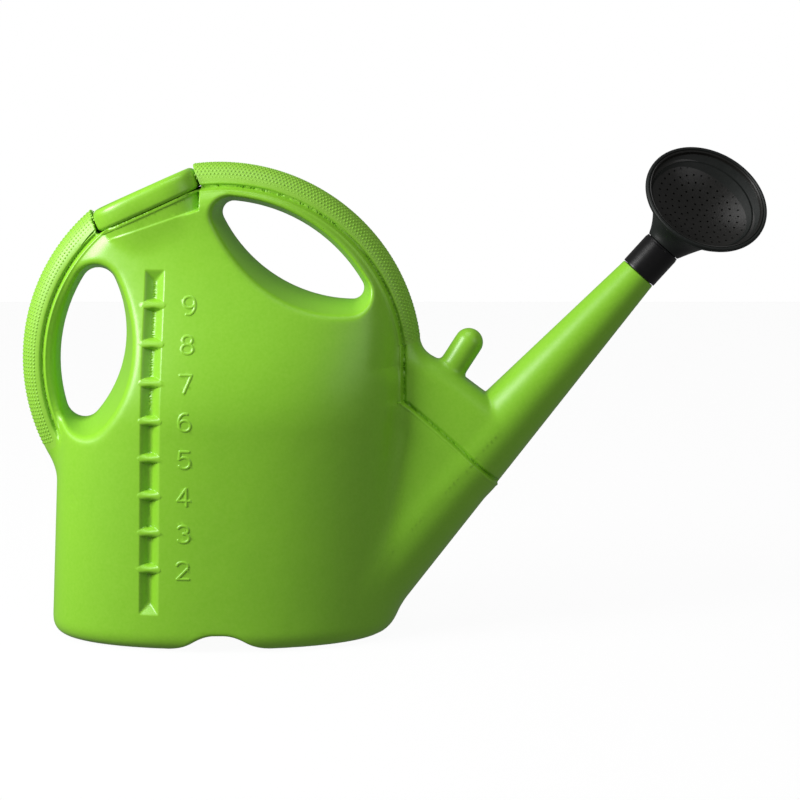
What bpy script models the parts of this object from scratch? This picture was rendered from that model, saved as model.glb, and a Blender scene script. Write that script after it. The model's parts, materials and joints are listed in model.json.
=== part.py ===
"""Ten litre watering can with a ring handle and a turning rose.

The can stands on z = 0 with its spout towards +X.  Everything is drawn in the
can's own frame, whose x = 0 lies under the centre of the ring handle, and one
empty then moves that frame so that the origin is under the middle of the whole
object.  The hollow green body is one outer solid less one inner solid, made by
the same functions with a wall between them, and is then parted along the
groove that runs under the grips and across the foot of the spout.
"""

import math

import bmesh
import bpy
from mathutils import Matrix, Vector

MM = 0.001

# Fits and walls
GAP = 0.3 * MM                  # between pieces that touch
WALL = 2.2 * MM                 # moulded wall of the green body
REACH = 120 * MM                # half depth of a cutter that goes right through

# Tank
TANK_LENGTH = 275 * MM
TANK_WIDTH = 150 * MM
TANK_FULLNESS = 2.2             # exponent of the oval plan
TANK_LEAN = math.radians(3)     # the tank leans towards the spout
TANK_SHIFT = -2.7 * MM          # plan centre at the base, from the ring centre
BASE_ROUND = 12 * MM
SHOULDER_HEIGHT = 175 * MM      # above this the sides draw in towards the neck
CROWN_PROUD = 1.8 * MM          # the tank's top thins out to the ring just past the groove
CROWN_EDGE = 14 * MM            # half thickness there
CROWN_SLOPE = 1.67              # gain in half thickness towards the ring's centre
NOTCH_WIDTH = 50 * MM           # hand hold across the base, for tipping
NOTCH_HEIGHT = 13 * MM
NOTCH_SLOPE = 10 * MM
NOTCH_ROUND = 3 * MM            # corner of the hand hold's roof

# Ring handle
RING_HEIGHT = 219 * MM          # centre of the ring
RING_RADIUS = 158.7 * MM        # outside of the grips
GRIP_DEPTH = 17.5 * MM
GRIP_HALF_WIDTH = 17.3 * MM
RAIL_HALF_WIDTH = 16 * MM
FRONT_GROOVE_SHIFT = 3.5 * MM   # the front groove is centred a little forward
FRONT_GRIP_END = math.radians(6.5)
REAR_GRIP_END = math.radians(206.5)

# Hand holes: each is the overlap of the ring's inner circle and a second circle
HOLE_DRAFT = math.radians(13)
RAIL_DEPTH = 29.6 * MM          # from the outside of the grips to the hand holes
RAIL_ROOT = 5 * MM              # the ring goes this far into the tank
FRONT_HOLE_BEARING = math.radians(57.36)
FRONT_HOLE_RADIUS = 115.3 * MM
FRONT_HOLE_DEPTH = 47.1 * MM    # widest opening below the rail
FRONT_HOLE_TIP = 9 * MM
REAR_HOLE_BEARING = math.radians(171.3)
REAR_HOLE_RADIUS = 101.6 * MM
REAR_HOLE_DEPTH = 51.1 * MM
REAR_HOLE_TIP = 14 * MM

# Filler neck and collar, square to a line that leans back from the vertical
NECK_LEAN = math.radians(24)
NECK_HALF_LENGTH = 44 * MM
NECK_HALF_WIDTH = 33 * MM
NECK_FULLNESS = 3.2
NECK_SINK = 0.2 * MM            # the neck's ends stop this far inside the groove
NECK_BAND = 12 * MM             # plain band between the tank and the collar
NECK_ROOT = 20 * MM             # the neck goes this far into the tank
CLEAR_HEIGHT = 60 * MM          # room cut away over the neck
COLLAR_HEIGHT = 17 * MM
COLLAR_PROUD = 1.2 * MM
COLLAR_ROUND = 6 * MM
COLLAR_FOOT_INSET = 1.5 * MM
COLLAR_FOOT_HEIGHT = 2 * MM
MOUTH_RIM = 11 * MM             # from the collar's outside to its mouth

# Spout: a cone on a slanting axis, and the web that ties it to the ring
SPOUT_TIP = Vector((330.5, 0, 290.2)) * MM
SPOUT_RISE = math.radians(48.2)
SPOUT_TIP_RADIUS = 15 * MM
SPOUT_TAPER = math.radians(4.23)
SPOUT_LENGTH = 347 * MM
SPOUT_WEB_END = 150 * MM        # the web meets the cone this far from the shoulder
WEB_HALF_WIDTH = 17 * MM        # at the end of the front grip
WEB_END_HALF_WIDTH = 25.5 * MM  # where it meets the cone
WEB_ROUND = 15 * MM
WEB_ROOT = 22 * MM              # the web goes this far behind the groove
WEB_FOOT_HEIGHTS = (90 * MM, 110 * MM)
WEB_TOP_EDGE = (                # forward and up from the end of the front grip
    (-14 * MM, 4 * MM),
    (0.6 * MM, -1 * MM),
    (2.2 * MM, -8 * MM),
    (7 * MM, -12.5 * MM),
    (16 * MM, -15.5 * MM),
    (38 * MM, -33 * MM),
    (46 * MM, -38.5 * MM),
    (54 * MM, -40.5 * MM),
)
SEAM_KNEE_HEIGHT = 190.7 * MM   # the vertical groove turns here
SEAM_FALL = math.radians(41.5)  # slope of the groove across the foot of the spout
SPIGOT_RADIUS = 12 * MM
SPIGOT_LENGTH = 22 * MM
SPIGOT_BORE = 9.5 * MM

# Parking peg for the rose
PEG_RADIUS = 11.4 * MM
PEG_FORWARD = 37.6 * MM         # centre of its round end, from the front of the ring
PEG_UP = 15.9 * MM              # and from the height of the ring's centre
PEG_RISE = math.radians(57.5)
PEG_LENGTH = 40 * MM

# Litre scale on the -Y side
LITRE_STEP = 29.2 * MM
LITRE_TWO_HEIGHT = 65.9 * MM
LITRE_MARKS = 8                 # two to nine litres
SCALE_FOOT = -55.4 * MM         # x of the scale at the base
SCALE_LEAN = math.radians(1.35)
SCALE_WIDTH = 15.5 * MM
SCALE_DEPTH = 4 * MM
SCALE_RIB = 5 * MM

# Rose
SLEEVE_RADIUS = 15.6 * MM
SLEEVE_LENGTH = 28.3 * MM
SLEEVE_FIT = 0.3 * MM           # sleeve bore over the spigot
ROSE_RIM_RADIUS = 50.5 * MM
ROSE_REACH = 50.7 * MM          # sleeve top to the centre of the rim
ROSE_TILT = math.radians(49.7)  # face against the neck axis
ROSE_TURN = math.radians(70.9)  # rest position, from straight up towards -Y
ROSE_WALL = 2 * MM
ROSE_FLARE = 0.85               # below 1 the bell widens early
ROSE_RIM_BEAD = 3 * MM
ROSE_PLUG = 5.5 * MM            # length of bell inside the sleeve
FACE_THICKNESS = 2 * MM
FACE_RECESS = 1 * MM
FACE_LEDGE = 1.5 * MM           # seat for the plate inside the bell
FACE_HOLE = 1.2 * MM
FACE_RINGS = 3
FACE_MARGIN = 0.6               # bare edge of the face, in ring spacings

# Smoothness
OVAL_POINTS = 56
RING_STEPS = 72
ROUND_SIDES = 32
SMALL_SIDES = 24                # spigot and peg
TANK_LEVELS = 9                 # outlines above the shoulder
ROUND_STEPS = 4                 # across a rounded edge
BELL_STEPS = 6                  # along the rose's bell
GRIP_STEPS = 8                  # round a grip or the web's top edge
FAR = 0.6                       # beyond the object on every side

# Follow from the sizes above
RING_CENTRE = Vector((0, 0, RING_HEIGHT))
GROOVE_RADIUS = RING_RADIUS - GRIP_DEPTH
HAND_ROOM = RING_RADIUS - RAIL_DEPTH
CROWN_RADIUS = GROOVE_RADIUS + CROWN_PROUD
NECK_TOP = math.sqrt(GROOVE_RADIUS ** 2 - NECK_HALF_LENGTH ** 2) - NECK_SINK
NECK_FOOT = NECK_TOP - NECK_BAND
SEAM_X = GROOVE_RADIUS + FRONT_GROOVE_SHIFT
PEG_TIP = RING_CENTRE + Vector((RING_RADIUS + PEG_FORWARD, 0, PEG_UP))
SPOUT_AXIS = Vector((math.cos(SPOUT_RISE), 0, math.sin(SPOUT_RISE)))
NECK_ALONG = Vector((math.cos(NECK_LEAN), 0, math.sin(NECK_LEAN)))
NECK_UP = Vector((-math.sin(NECK_LEAN), 0, math.cos(NECK_LEAN)))
LITRE_ONE_HEIGHT = LITRE_TWO_HEIGHT - LITRE_STEP


# ---------------------------------------------------------------- helpers

def clear_scene():
    """Remove every object that the scene starts with."""
    for item in list(bpy.data.objects):
        bpy.data.objects.remove(item)


def make_collection(name):
    """A new collection in the scene."""
    group = bpy.data.collections.new(name)
    bpy.context.scene.collection.children.link(group)
    return group


def add_object(name, mesh, group):
    """Link a mesh as an object."""
    item = bpy.data.objects.new(name, mesh)
    group.objects.link(item)
    return item


def mesh_from(name, shape):
    """Turn a bmesh into mesh data with its faces pointing out."""
    bmesh.ops.recalc_face_normals(shape, faces=shape.faces)
    mesh = bpy.data.meshes.new(name)
    shape.to_mesh(mesh)
    shape.free()
    return mesh


def loft(name, rings):
    """A closed solid through outlines that have the same number of points."""
    shape = bmesh.new()
    rows = [[shape.verts.new(point) for point in ring] for ring in rings]
    count = len(rows[0])
    for low, high in zip(rows, rows[1:]):
        for i in range(count):
            j = (i + 1) % count
            shape.faces.new((low[i], low[j], high[j], high[i]))
    shape.faces.new(list(reversed(rows[0])))
    shape.faces.new(rows[-1])
    return mesh_from(name, shape)


def prism(name, outline, depth=REACH):
    """A flat outline in the XZ plane, extruded to both sides."""
    shape = bmesh.new()
    face = shape.faces.new([shape.verts.new((p.x, -depth, p.z)) for p in outline])
    moved = bmesh.ops.extrude_face_region(shape, geom=[face])["geom"]
    verts = [item for item in moved if isinstance(item, bmesh.types.BMVert)]
    bmesh.ops.translate(shape, verts=verts, vec=(0, 2 * depth, 0))
    return mesh_from(name, shape)


def cone(name, base_radius, top_radius, height, matrix, sides=ROUND_SIDES):
    """A cone or cylinder whose base centre is at the matrix's origin."""
    shape = bmesh.new()
    lift = Matrix.Translation((0, 0, height / 2))
    bmesh.ops.create_cone(shape, cap_ends=True, segments=sides, radius1=base_radius,
                          radius2=top_radius, depth=height, matrix=matrix @ lift)
    return mesh_from(name, shape)


def turned(name, profile, group, steps, closed):
    """A profile in the XZ plane turned about Z with a Screw modifier."""
    mesh = bpy.data.meshes.new(name)
    edges = [(i, i + 1) for i in range(len(profile) - 1)]
    if closed:
        edges.append((len(profile) - 1, 0))
    mesh.from_pydata([(radius, 0, height) for radius, height in profile], edges, [])
    item = add_object(name, mesh, group)
    screw = item.modifiers.new("turn", "SCREW")
    screw.steps = steps
    screw.render_steps = steps
    screw.use_merge_vertices = True
    screw.merge_threshold = 0.00001
    screw.use_smooth_shade = True
    return item


def cutter(name, mesh):
    """An object that only serves Boolean modifiers."""
    item = add_object(name, mesh, CUTTERS)
    hide(item)
    return item


def hide(item):
    """Mark an object as a guide."""
    item.hide_render = True
    item.display_type = "WIRE"


def combine(item, other, operation):
    """Join, cut or cross an object with another one."""
    step = item.modifiers.new(other.name, "BOOLEAN")
    step.operation = operation
    step.object = other
    step.solver = "EXACT"


def evaluated_mesh(item):
    """The finished mesh of an object, in its own frame."""
    bpy.context.view_layer.update()
    graph = bpy.context.evaluated_depsgraph_get()
    return bpy.data.meshes.new_from_object(item.evaluated_get(graph))


def arc(centre, radius, start, stop, count):
    """Points on an arc in the XZ plane, both ends included."""
    turns = [start + (stop - start) * i / (count - 1) for i in range(count)]
    return [centre + radius * Vector((math.cos(t), 0, math.sin(t))) for t in turns]


def oval(half_length, half_width, fullness, count):
    """A rounded oval as pairs of length and width."""
    points = []
    for i in range(count):
        turn = 2 * math.pi * i / count
        c, s = math.cos(turn), math.sin(turn)
        along = math.copysign(abs(c) ** (2 / fullness), c)
        across = math.copysign(abs(s) ** (2 / fullness), s)
        points.append((half_length * along, half_width * across))
    return points


def smooth(value):
    """Ease from 0 to 1."""
    value = min(max(value, 0), 1)
    return value * value * (3 - 2 * value)


def axis_matrix(origin, direction):
    """A frame at origin with its Z along a direction."""
    turn = Vector((0, 0, 1)).rotation_difference(direction).to_matrix().to_4x4()
    return Matrix.Translation(origin) @ turn


def bearing(point, centre):
    """Angle of a point about a centre in the XZ plane."""
    return math.atan2(point.z - centre.z, point.x - centre.x)


# ---------------------------------------------------------------- green body

def half_width_at(height):
    """The tank is full width up to the shoulder and draws in to the neck."""
    neck_height = RING_HEIGHT + NECK_FOOT
    share = (height - SHOULDER_HEIGHT) / (neck_height - SHOULDER_HEIGHT)
    return TANK_WIDTH / 2 + (NECK_HALF_WIDTH - TANK_WIDTH / 2) * smooth(share)


def tank_row(height, inset, offset):
    """One plan outline of the tank; inset rounds the base edge."""
    centre = TANK_SHIFT + height * math.tan(TANK_LEAN)
    front = centre + TANK_LENGTH / 2
    rear = centre - TANK_LENGTH / 2
    above = height - RING_HEIGHT
    if above > 0:
        limit = math.sqrt((SEAM_X + GAP) ** 2 - above ** 2)
        front = min(front, limit)
        rear = max(rear, -limit)
    half_length = (front - rear) / 2 - inset - offset
    half_width = half_width_at(height) - inset - offset
    middle = (front + rear) / 2
    points = oval(half_length, half_width, TANK_FULLNESS, OVAL_POINTS)
    return [Vector((middle + x, y, height)) for x, y in points]


def tank_mesh(name, offset):
    """The tank without its holes, moved in by offset."""
    rows = []
    for i in range(ROUND_STEPS + 1):
        turn = math.radians(90) * i / ROUND_STEPS
        inset = BASE_ROUND * (1 - math.sin(turn))
        height = BASE_ROUND * (1 - math.cos(turn))
        rows.append(tank_row(max(height, offset), inset, offset))
    if offset:
        rows = rows[1:]
    top = RING_HEIGHT + NECK_TOP - 2 * offset
    for i in range(TANK_LEVELS):
        height = SHOULDER_HEIGHT + (top - SHOULDER_HEIGHT) * i / (TANK_LEVELS - 1)
        rows.append(tank_row(height, 0, offset))
    return loft(name, rows)


def crown_solid(name, offset):
    """What bounds the tank: a double cone about the ring's axis, and all below it."""
    drop = (REACH - CROWN_EDGE) / CROWN_SLOPE
    edge = CROWN_RADIUS - offset
    profile = [(0.0, REACH), (edge - drop, REACH), (edge, CROWN_EDGE),
               (edge, -CROWN_EDGE), (edge - drop, -REACH), (0.0, -REACH)]
    item = turned(name, profile, CUTTERS, RING_STEPS, closed=False)
    item.location = RING_CENTRE
    item.rotation_euler = (math.pi / 2, 0, 0)
    hide(item)
    far = 2 * RING_RADIUS
    low = [Vector((x, 0, z)) for x, z in ((-far, -far), (far, -far),
                                          (far, RING_HEIGHT), (-far, RING_HEIGHT))]
    combine(item, cutter(name + "_below", prism(name + "_below", low, 2 * REACH)), "UNION")
    return item


def ring_solid(name, offset):
    """The ring of the handle, turned about an axis that is then laid along Y."""
    half = GRIP_HALF_WIDTH - offset
    depth = GRIP_DEPTH - offset
    inner = HAND_ROOM - RAIL_ROOT
    flank = RAIL_HALF_WIDTH - offset
    profile = [(inner, flank)]
    for i in range(GRIP_STEPS + 1):
        turn = math.pi / 2 - math.pi * i / GRIP_STEPS
        profile.append((GROOVE_RADIUS + depth * math.cos(turn), half * math.sin(turn)))
    profile.append((inner, -flank))
    item = turned(name, profile, CUTTERS, RING_STEPS, closed=True)
    item.location = RING_CENTRE
    item.rotation_euler = (math.pi / 2, 0, 0)
    hide(item)
    return item


def hole_outline(centre, radius, tip, offset):
    """The overlap of two circles with rounded tips, grown by offset."""
    gap = centre - RING_CENTRE
    spread = gap.length
    to_ring = HAND_ROOM - tip
    to_side = radius - tip
    along = (to_ring ** 2 - to_side ** 2 + spread ** 2) / (2 * spread)
    across = math.sqrt(to_ring ** 2 - along ** 2)
    forward = gap.normalized()
    left = Vector((-forward.z, 0, forward.x))
    first = RING_CENTRE + along * forward - across * left
    last = RING_CENTRE + along * forward + across * left
    points = []
    turn = bearing(first, RING_CENTRE)
    sweep = (bearing(last, RING_CENTRE) - turn) % (2 * math.pi)
    points += arc(RING_CENTRE, HAND_ROOM + offset, turn, turn + sweep, 15)
    start = bearing(last, RING_CENTRE)
    stop = bearing(last, centre)
    bend = (stop - start) % (2 * math.pi)
    points += arc(last, tip + offset, start, start + bend, 7)[1:-1]
    turn = bearing(last, centre)
    sweep = (bearing(first, centre) - turn) % (2 * math.pi)
    points += arc(centre, radius + offset, turn, turn + sweep, 13)
    start = bearing(first, centre)
    bend = (bearing(first, RING_CENTRE) - start) % (2 * math.pi)
    points += arc(first, tip + offset, start, start + bend, 7)[1:-1]
    return points


def hole_cutter(name, turn, radius, depth_in_plane, tip, offset):
    """A hand hole towards a bearing, narrowest in the middle plane."""
    reach = HAND_ROOM + radius - depth_in_plane
    centre = RING_CENTRE + reach * Vector((math.cos(turn), 0, math.sin(turn)))
    rows = []
    for depth in (-REACH, 0, REACH):
        grown = offset + abs(depth) * math.tan(HOLE_DRAFT)
        outline = hole_outline(centre, radius, tip, grown)
        rows.append([Vector((p.x, depth, p.z)) for p in outline])
    return cutter(name, loft(name, rows))


def hole_cutters(name, offset):
    """Both hand holes."""
    front = (FRONT_HOLE_BEARING, FRONT_HOLE_RADIUS, FRONT_HOLE_DEPTH, FRONT_HOLE_TIP)
    rear = (REAR_HOLE_BEARING, REAR_HOLE_RADIUS, REAR_HOLE_DEPTH, REAR_HOLE_TIP)
    return [hole_cutter(name + "_front", *front, offset),
            hole_cutter(name + "_rear", *rear, offset)]


def neck_solid(name, offset, low, high):
    """The oval neck between two heights on its leaning axis."""
    rows = []
    for level in (low, high):
        points = oval(NECK_HALF_LENGTH - offset, NECK_HALF_WIDTH - offset,
                      NECK_FULLNESS, OVAL_POINTS)
        foot = RING_CENTRE + level * NECK_UP
        rows.append([foot + t * NECK_ALONG + Vector((0, y, 0)) for t, y in points])
    return cutter(name, loft(name, rows))


def neck_box(name, low, high, half_length):
    """A block square to the neck axis, right through in Y."""
    corners = [(-half_length, low), (half_length, low), (half_length, high), (-half_length, high)]
    outline = [RING_CENTRE + t * NECK_ALONG + n * NECK_UP for t, n in corners]
    return cutter(name, prism(name, outline))


def spout_cone(name, offset):
    """The tapering tube from inside the tank to its shoulder."""
    length = SPOUT_LENGTH - offset
    base = SPOUT_TIP_RADIUS + SPOUT_LENGTH * math.tan(SPOUT_TAPER) - offset
    top = SPOUT_TIP_RADIUS - offset
    foot = SPOUT_TIP - SPOUT_LENGTH * SPOUT_AXIS
    return cutter(name, cone(name, base, top, length, axis_matrix(foot, SPOUT_AXIS)))


def web_row(side, drop, offset):
    """One outline of the web, side running from -1 to 1; its top edge sinks by drop."""
    fall = Vector((-math.sin(SEAM_FALL), 0, -math.cos(SEAM_FALL)))
    start = RING_CENTRE + RING_RADIUS * Vector((math.cos(FRONT_GRIP_END), 0,
                                                math.sin(FRONT_GRIP_END)))
    valley = SPOUT_TIP - SPOUT_WEB_END * SPOUT_AXIS
    widening = (WEB_END_HALF_WIDTH - WEB_HALF_WIDTH) / (valley.x - start.x)
    sunk = [start + Vector((x, 0, z)) + (drop + offset) * fall for x, z in WEB_TOP_EDGE]
    foot, root = WEB_FOOT_HEIGHTS
    root_x = SEAM_X - WEB_ROOT
    low = [valley, Vector((SEAM_X, 0, foot)), Vector((root_x, 0, root)),
           Vector((root_x, 0, sunk[0].z))]
    outline = []
    for point in sunk + low:
        half = WEB_HALF_WIDTH - offset + widening * (point.x - start.x)
        outline.append(Vector((point.x, half * side, point.z)))
    return outline


def web_solid(name, offset):
    """The web between ring and spout, with a half round top edge."""
    rows = []
    for i in range(GRIP_STEPS + 1):
        turn = math.pi * i / GRIP_STEPS - math.pi / 2
        rows.append(web_row(math.sin(turn), WEB_ROUND * (1 - math.cos(turn)), offset))
    return cutter(name, loft(name, rows))


def peg_solid(name):
    """The round ended peg on which the rose is parked."""
    profile = [(0.0, PEG_RADIUS)]
    for i in range(1, ROUND_STEPS + 1):
        turn = math.radians(90) * (1 - i / ROUND_STEPS)
        profile.append((PEG_RADIUS * math.cos(turn), PEG_RADIUS * math.sin(turn)))
    foot = PEG_RADIUS - PEG_LENGTH
    profile += [(PEG_RADIUS, foot), (0.0, foot)]
    item = turned(name, profile, CUTTERS, SMALL_SIDES, closed=False)
    item.matrix_world = axis_matrix(PEG_TIP, Vector((math.cos(PEG_RISE), 0, math.sin(PEG_RISE))))
    hide(item)
    return item


def spigot_solid(name, radius, start, stop):
    """A round bar on the spout's axis, measured from the shoulder."""
    matrix = axis_matrix(SPOUT_TIP + start * SPOUT_AXIS, SPOUT_AXIS)
    return cutter(name, cone(name, radius, radius, stop - start, matrix, SMALL_SIDES))


def notch_cutter(name, offset):
    """The hand hold across the base."""
    half = NOTCH_WIDTH / 2 + offset
    flat = half - NOTCH_SLOPE
    top = NOTCH_HEIGHT + offset
    under = -NOTCH_HEIGHT
    right = [(half + NOTCH_SLOPE / 4, under), (half, NOTCH_ROUND),
             (flat + NOTCH_ROUND, top - NOTCH_ROUND), (flat - NOTCH_ROUND, top)]
    left = [(-x, z) for x, z in reversed(right)]
    return cutter(name, prism(name, [Vector((x, 0, z)) for x, z in right + left]))


def scale_pocket(name, low, high, grown):
    """A shallow pocket of the litre scale between two heights."""
    half = SCALE_WIDTH / 2 + grown
    outline = []
    for side, height in ((-half, low), (half, low), (half, high), (-half, high)):
        middle = SCALE_FOOT + math.tan(SCALE_LEAN) * height
        outline.append((middle + side, height))
    rows = []
    for level in (0, 1):
        row = []
        for x, height in outline:
            surface = tank_side(x, height)
            depth = -surface + (SCALE_DEPTH + grown if level == 0 else -REACH)
            row.append(Vector((x, depth, height)))
        rows.append(row)
    return cutter(name, loft(name, rows))


def tank_side(x, height):
    """Half width of the tank at a point of its side."""
    centre = TANK_SHIFT + height * math.tan(TANK_LEAN)
    share = min(abs(x - centre) / (TANK_LENGTH / 2), 1)
    return half_width_at(height) * (1 - share ** TANK_FULLNESS) ** (1 / TANK_FULLNESS)


def scale_cutters():
    """The pockets between the ribs that mark the litres."""
    marks = [LITRE_ONE_HEIGHT + LITRE_STEP * i for i in range(1, LITRE_MARKS + 1)]
    edges = [LITRE_ONE_HEIGHT - SCALE_RIB] + marks + [marks[-1] + LITRE_STEP - SCALE_RIB]
    half_rib = SCALE_RIB / 2
    return [scale_pocket("scale_%d" % i, low + half_rib, high - half_rib, 0)
            for i, (low, high) in enumerate(zip(edges, edges[1:]))]


def inner_solid():
    """The space inside the green body."""
    item = cutter("space", tank_mesh("space", WALL))
    ring = ring_solid("space_ring", WALL)
    neck = neck_solid("space_neck", WALL, NECK_FOOT - 2 * NECK_ROOT, NECK_TOP + WALL)
    tube = spout_cone("space_tube", WALL)
    web = web_solid("space_web", WALL)
    bore = spigot_solid("space_bore", SPIGOT_BORE, -2 * WALL, SPIGOT_LENGTH + WALL)
    above = neck_box("space_above", NECK_FOOT - WALL, NECK_TOP + CLEAR_HEIGHT, REACH + RING_RADIUS)
    combine(item, above, "DIFFERENCE")
    combine(item, crown_solid("space_crown", WALL), "INTERSECT")
    for other in (ring, neck, tube, web, bore):
        combine(item, other, "UNION")
    low = LITRE_ONE_HEIGHT - SCALE_RIB
    high = LITRE_ONE_HEIGHT + LITRE_STEP * (LITRE_MARKS + 1)
    combine(item, scale_pocket("space_scale", low, high, WALL), "DIFFERENCE")
    combine(item, notch_cutter("space_notch", WALL), "DIFFERENCE")
    for hole in hole_cutters("space_hole", WALL):
        combine(item, hole, "DIFFERENCE")
    return item


def outer_solid():
    """The outside of the green body, still in one piece."""
    item = cutter("outside", tank_mesh("outside", 0))
    combine(item, neck_box("outside_above", NECK_FOOT, NECK_TOP + CLEAR_HEIGHT,
                           REACH + RING_RADIUS), "DIFFERENCE")
    combine(item, crown_solid("outside_crown", 0), "INTERSECT")
    combine(item, ring_solid("outside_ring", 0), "UNION")
    combine(item, neck_solid("outside_neck", 0, NECK_FOOT - NECK_ROOT, NECK_TOP), "UNION")
    for other in (spout_cone("outside_tube", 0), web_solid("outside_web", 0),
                  spigot_solid("spigot", SPIGOT_RADIUS, -2 * WALL, SPIGOT_LENGTH)):
        combine(item, other, "UNION")
    for hole in hole_cutters("hole", 0):
        combine(item, hole, "DIFFERENCE")
    combine(item, notch_cutter("notch", 0), "DIFFERENCE")
    for pocket in scale_cutters():
        combine(item, pocket, "DIFFERENCE")
    collar_room = neck_box("collar_room", NECK_TOP, NECK_TOP + CLEAR_HEIGHT,
                           NECK_HALF_LENGTH + GAP)
    combine(item, collar_room, "DIFFERENCE")
    return item


def groove_centre(front):
    """Centre of the groove's arc on either side of the collar."""
    return RING_CENTRE + Vector((FRONT_GROOVE_SHIFT if front else 0, 0, 0))


def grip_region(front, grown):
    """Outline of a grip's share of the ring, from the collar's room to its free end."""
    centre = groove_centre(front)
    outer = RING_RADIUS + GRIP_DEPTH
    inner = GROOVE_RADIUS - grown
    collar_end = math.pi / 2 + NECK_LEAN
    slack = grown / RING_RADIUS
    if front:
        start, stop = FRONT_GRIP_END - slack, collar_end
    else:
        start, stop = collar_end, REAR_GRIP_END + slack
    return arc(centre, outer, start, stop, 28) + arc(centre, inner, stop, start, 28)


def spout_region(grown):
    """Outline of the spout's share: right of the groove and above its slope."""
    slope = Vector((math.cos(SEAM_FALL), 0, -math.sin(SEAM_FALL)))
    out = Vector((math.sin(SEAM_FALL), 0, math.cos(SEAM_FALL)))
    seam_x = SEAM_X - grown
    foot = Vector((SEAM_X, 0, SEAM_KNEE_HEIGHT)) - grown * out
    knee = foot - slope * ((foot.x - seam_x) / slope.x)
    end = knee + slope * FAR / 2
    lift = (FRONT_GRIP_END - (GAP - grown) / RING_RADIUS)
    ring_end = groove_centre(True) + Vector((0, 0, math.sin(lift) * GROOVE_RADIUS))
    side_x = RING_RADIUS + FRONT_GROOVE_SHIFT + GAP
    tilt = math.tan(lift)
    start = Vector((seam_x, 0, RING_HEIGHT + tilt * (seam_x - ring_end.x)))
    shelf = Vector((side_x, 0, RING_HEIGHT + tilt * (side_x - ring_end.x)))
    return [start, knee, end, Vector((FAR, 0, end.z)), Vector((FAR, 0, FAR)),
            Vector((side_x, 0, FAR)), shelf]


def take(name, shell, outline, depth, finish):
    """Make a node from the part of the body inside an outline."""
    item = add_object(name, shell.copy(), CAN)
    region = cutter(name + "_region", prism(name + "_region", outline, depth))
    combine(item, region, "INTERSECT")
    dress(item, finish)
    return item


def build_body():
    """Tank, grips and spout from one hollow shell."""
    shell = outer_solid()
    combine(shell, inner_solid(), "DIFFERENCE")
    mesh = evaluated_mesh(shell)
    flank = GRIP_HALF_WIDTH + GAP
    take("front_grip", mesh, grip_region(True, -GAP), flank, GREEN_GRIP)
    take("rear_grip", mesh, grip_region(False, -GAP), flank, GREEN_GRIP)
    spout = take("spout", mesh, spout_region(-GAP), REACH, GREEN)
    combine(spout, peg_solid("peg"), "UNION")
    tank = add_object("tank", mesh.copy(), CAN)
    for name, outline, depth in (("front", grip_region(True, 0), flank + GAP),
                                 ("rear", grip_region(False, 0), flank + GAP),
                                 ("spout", spout_region(0), REACH)):
        room = cutter("room_" + name, prism("room_" + name, outline, depth))
        combine(tank, room, "DIFFERENCE")
    dress(tank, GREEN)


def collar_rows(inset, low, high):
    """The collar's outline at two levels."""
    rows = []
    for level in (low, high):
        points = oval(NECK_HALF_LENGTH - inset, NECK_HALF_WIDTH + COLLAR_PROUD - inset,
                      NECK_FULLNESS, OVAL_POINTS)
        foot = RING_CENTRE + level * NECK_UP
        rows.append([foot + t * NECK_ALONG + Vector((0, y, 0)) for t, y in points])
    return rows


def build_collar():
    """The rolled collar round the filler mouth."""
    low = NECK_TOP + GAP
    high = NECK_TOP + COLLAR_HEIGHT
    rows = [collar_rows(COLLAR_FOOT_INSET, low, low)[0]]
    rows += collar_rows(0, low + COLLAR_FOOT_HEIGHT, high - COLLAR_ROUND)
    for i in range(1, ROUND_STEPS + 1):
        turn = math.radians(90) * i / ROUND_STEPS
        inset = COLLAR_ROUND * (1 - math.cos(turn))
        level = high - COLLAR_ROUND * (1 - math.sin(turn))
        rows.append(collar_rows(inset, level, level)[0])
    collar = add_object("filler_collar", loft("filler_collar", rows), CAN)
    mouth = loft("mouth", collar_rows(MOUTH_RIM, low - MOUTH_RIM, high + MOUTH_RIM))
    combine(collar, cutter("mouth", mouth), "DIFFERENCE")
    dress(collar, GREEN)


# ---------------------------------------------------------------- rose

def bell_row(share, offset):
    """One outline of the bell between the sleeve and the rim."""
    widening = share ** ROSE_FLARE
    middle = Vector((0, 0, SLEEVE_LENGTH + GAP + (ROSE_REACH - GAP) * share))
    tilt = Matrix.Rotation(ROSE_TILT, 3, "Y")
    row = []
    for i in range(ROUND_SIDES):
        turn = 2 * math.pi * i / ROUND_SIDES
        spoke = Vector((math.cos(turn), math.sin(turn), 0))
        start = (SLEEVE_RADIUS - offset) * spoke
        stop = (ROSE_RIM_RADIUS - ROSE_RIM_BEAD / 2 - offset) * (tilt @ spoke)
        row.append(middle + start.lerp(stop, widening))
    return row


def rim_row(radius, height):
    """An outline square to the rose's face, at a height over the rim plane."""
    matrix = rose_face_matrix()
    row = []
    for i in range(ROUND_SIDES):
        turn = 2 * math.pi * i / ROUND_SIDES
        row.append(matrix @ Vector((radius * math.cos(turn), radius * math.sin(turn), height)))
    return row


def rose_face_matrix():
    """The rim's frame: its centre, with Z out of the face."""
    middle = Matrix.Translation((0, 0, SLEEVE_LENGTH + ROSE_REACH))
    return middle @ Matrix.Rotation(ROSE_TILT, 4, "Y")


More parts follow.
